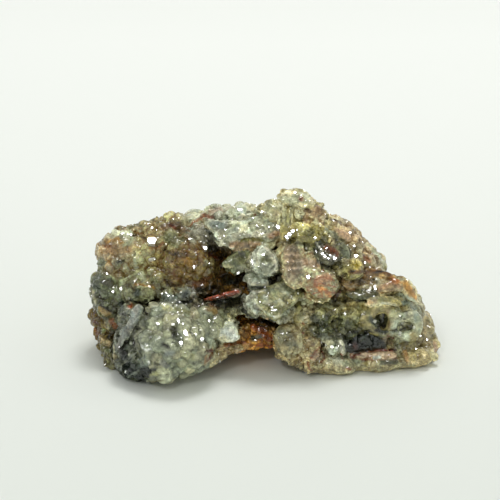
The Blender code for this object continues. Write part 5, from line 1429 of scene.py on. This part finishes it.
def spread_by_glitter(value, low, high, weak, strong):
    """Maps a noise to a brightness factor whose span grows with the glitter."""
    spans = {"Value": value, "From Min": low, "From Max": high}
    spans["To Min"] = remap(nodes, sugar_value, 0, 1, 1 - weak, 1 - strong)
    spans["To Max"] = remap(nodes, sugar_value, 0, 1, 1 + weak, 1 + strong * 1.2)
    return grey(add_node(nodes, "ShaderNodeMapRange", spans, clamp=True).outputs["Result"])


veiled = mix_colours(nodes, 1.0, tint_value, grey(remap(nodes, clouds, 0.38, 0.68, 0.9, 1.4)), "MULTIPLY")
in_gaps = sum_of(nodes, "MULTIPLY", near_value, 0.3)
rusty = sum_of(nodes, "MULTIPLY", remap(nodes, sum_of(nodes, "ADD", mottle, in_gaps), 0.58, 0.74, 0, 0.85), sugar_value)
coloured = mix_colours(nodes, rusty, veiled, crease_value)
coloured = mix_colours(nodes, 1.0, coloured, spread_by_glitter(fine_clouds, 0.36, 0.64, 0.25, 0.5), "MULTIPLY")
coloured = mix_colours(nodes, 1.0, coloured, spread_by_glitter(cell_parts.outputs["Red"], 0, 1, 0.15, 0.35), "MULTIPLY")
coloured = mix_colours(nodes, 1.0, coloured, spread_by_glitter(tone_value, 0, 1, 0.25, 0.35), "MULTIPLY")
edge_dark = sum_of(nodes, "MULTIPLY", remap(nodes, borders, 0.0, 0.05, 0.8, 0.0), sugar_value)
coloured = mix_colours(nodes, edge_dark, coloured, crease_value)
# Painted shade in the creases and seams, in the crease colour, which is rust where the finish is rusty.
coloured = mix_colours(nodes, remap(nodes, near_value, 0.35, 0.9, 0, 0.9), coloured, crease_value)
# Painted shade: the deep hollows darken towards near black.
coloured = mix_colours(nodes, remap(nodes, shade_value, 0.4, 0.05, 0, 0.9), coloured, rgba("#17120a"))

facets = cells.outputs["Color"]
tilt = add_node(nodes, "ShaderNodeVectorMath", {0: facets, 1: (0.5, 0.5, 0.5)}, operation="SUBTRACT").outputs[0]
tilt = add_node(nodes, "ShaderNodeVectorMath", {0: tilt, "Scale": remap(nodes, sugar_value, 0, 1, 0.0, 0.6)}, operation="SCALE").outputs[0]
normal = add_node(nodes, "ShaderNodeNewGeometry").outputs["Normal"]
tilted = add_node(nodes, "ShaderNodeVectorMath", {0: normal, 1: tilt}, operation="ADD").outputs[0]
facet_normal = add_node(nodes, "ShaderNodeVectorMath", {0: tilted}, operation="NORMALIZE").outputs[0]
bump = add_node(nodes, "ShaderNodeBump", {"Strength": 0.25, "Distance": 0.05 * MM, "Height": fine_clouds, "Normal": facet_normal}).outputs["Normal"]

surface = add_node(nodes, "ShaderNodeBsdfPrincipled", {
    "Base Color": coloured,
    "Roughness": remap(nodes, clouds, 0.3, 0.7, 0.04, 0.16),
    "IOR": 1.54,
    "Specular IOR Level": 0.8,
    "Normal": bump,
    "Transmission Weight": sum_of(nodes, "MULTIPLY", clear_value, 0.7),
    "Subsurface Weight": 0.1,
    "Subsurface Radius": (1.0, 0.9, 0.7),
    "Subsurface Scale": 0.8 * MM,
})
absorb = add_node(nodes, "ShaderNodeVolumeAbsorption", {"Color": rgba("#cfc8a4"), "Density": 70})
output = add_node(nodes, "ShaderNodeOutputMaterial", {"Surface": surface.outputs[0], "Volume": absorb.outputs[0]})
mesh.materials.clear()
mesh.materials.append(chalcedony)

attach(rose, "root")
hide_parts("chalcedony_rose")

# The table and the light
# A white tabletop that fades into a white background, painted lighter towards the back as painted light, lit by a soft
# square lamp above, a little to the right and behind, and a small lamp at the front left; the two give the sharp
# glints, and a white room lights the rest.
shell = bmesh.new()
bmesh.ops.create_grid(shell, x_segments=1, y_segments=1, size=2.5)
floor = new_object("floor", shell)
paper = bpy.data.materials.new("white paper")
paper.use_nodes = True
nodes = paper.node_tree
nodes.nodes.clear()
# The paper is painted lighter towards the back: painted light, not an even white.
along = add_node(nodes, "ShaderNodeSeparateXYZ", {0: add_node(nodes, "ShaderNodeTexCoord").outputs["Object"]}).outputs["Y"]
painted_backdrop_light = remap(nodes, along, -0.06, 0.16)
white = mix_colours(nodes, painted_backdrop_light, rgba("#e2e6e0"), rgba("#f6f8f4"))
surface = add_node(nodes, "ShaderNodeBsdfPrincipled", {"Base Color": white, "Roughness": 0.8, "Specular IOR Level": 0.2})
add_node(nodes, "ShaderNodeOutputMaterial", {"Surface": surface.outputs[0]})
floor.data.materials.append(paper)

Lamp = namedtuple("Lamp", "name at side power")
LAMPS = (
    Lamp("key", tuple(KEY_LAMP), 0.17, 1.25),
    Lamp("front left", (-0.15, -0.4, 0.4), 0.07, 0.4),
)
for lamp in LAMPS:
    data = bpy.data.lights.new(lamp.name, "AREA")
    data.shape = "SQUARE"
    data.size = lamp.side
    data.energy = lamp.power
    made = bpy.data.objects.new(lamp.name, data)
    made.location = lamp.at
    made.rotation_euler = (Vector((0, 0, 0.01)) - Vector(lamp.at)).to_track_quat("-Z", "Y").to_euler()
    bpy.context.scene.collection.objects.link(made)
world = bpy.data.worlds.new("white room")
world.use_nodes = True
nodes = world.node_tree
nodes.nodes.clear()
toward = add_node(nodes, "ShaderNodeTexCoord").outputs["Generated"]
panels = add_node(nodes, "ShaderNodeTexNoise", {"Vector": toward, "Scale": 3.5, "Detail": 1}).outputs["Fac"]
glow = remap(nodes, panels, 0.44, 0.56, 0.24, 1.06)
sky = add_node(nodes, "ShaderNodeBackground", {"Color": rgba("#f6f8f4"), "Strength": glow})
add_node(nodes, "ShaderNodeOutputWorld", {"Surface": sky.outputs[0]})
bpy.context.scene.world = world
bpy.context.scene.view_settings.view_transform = "Standard"
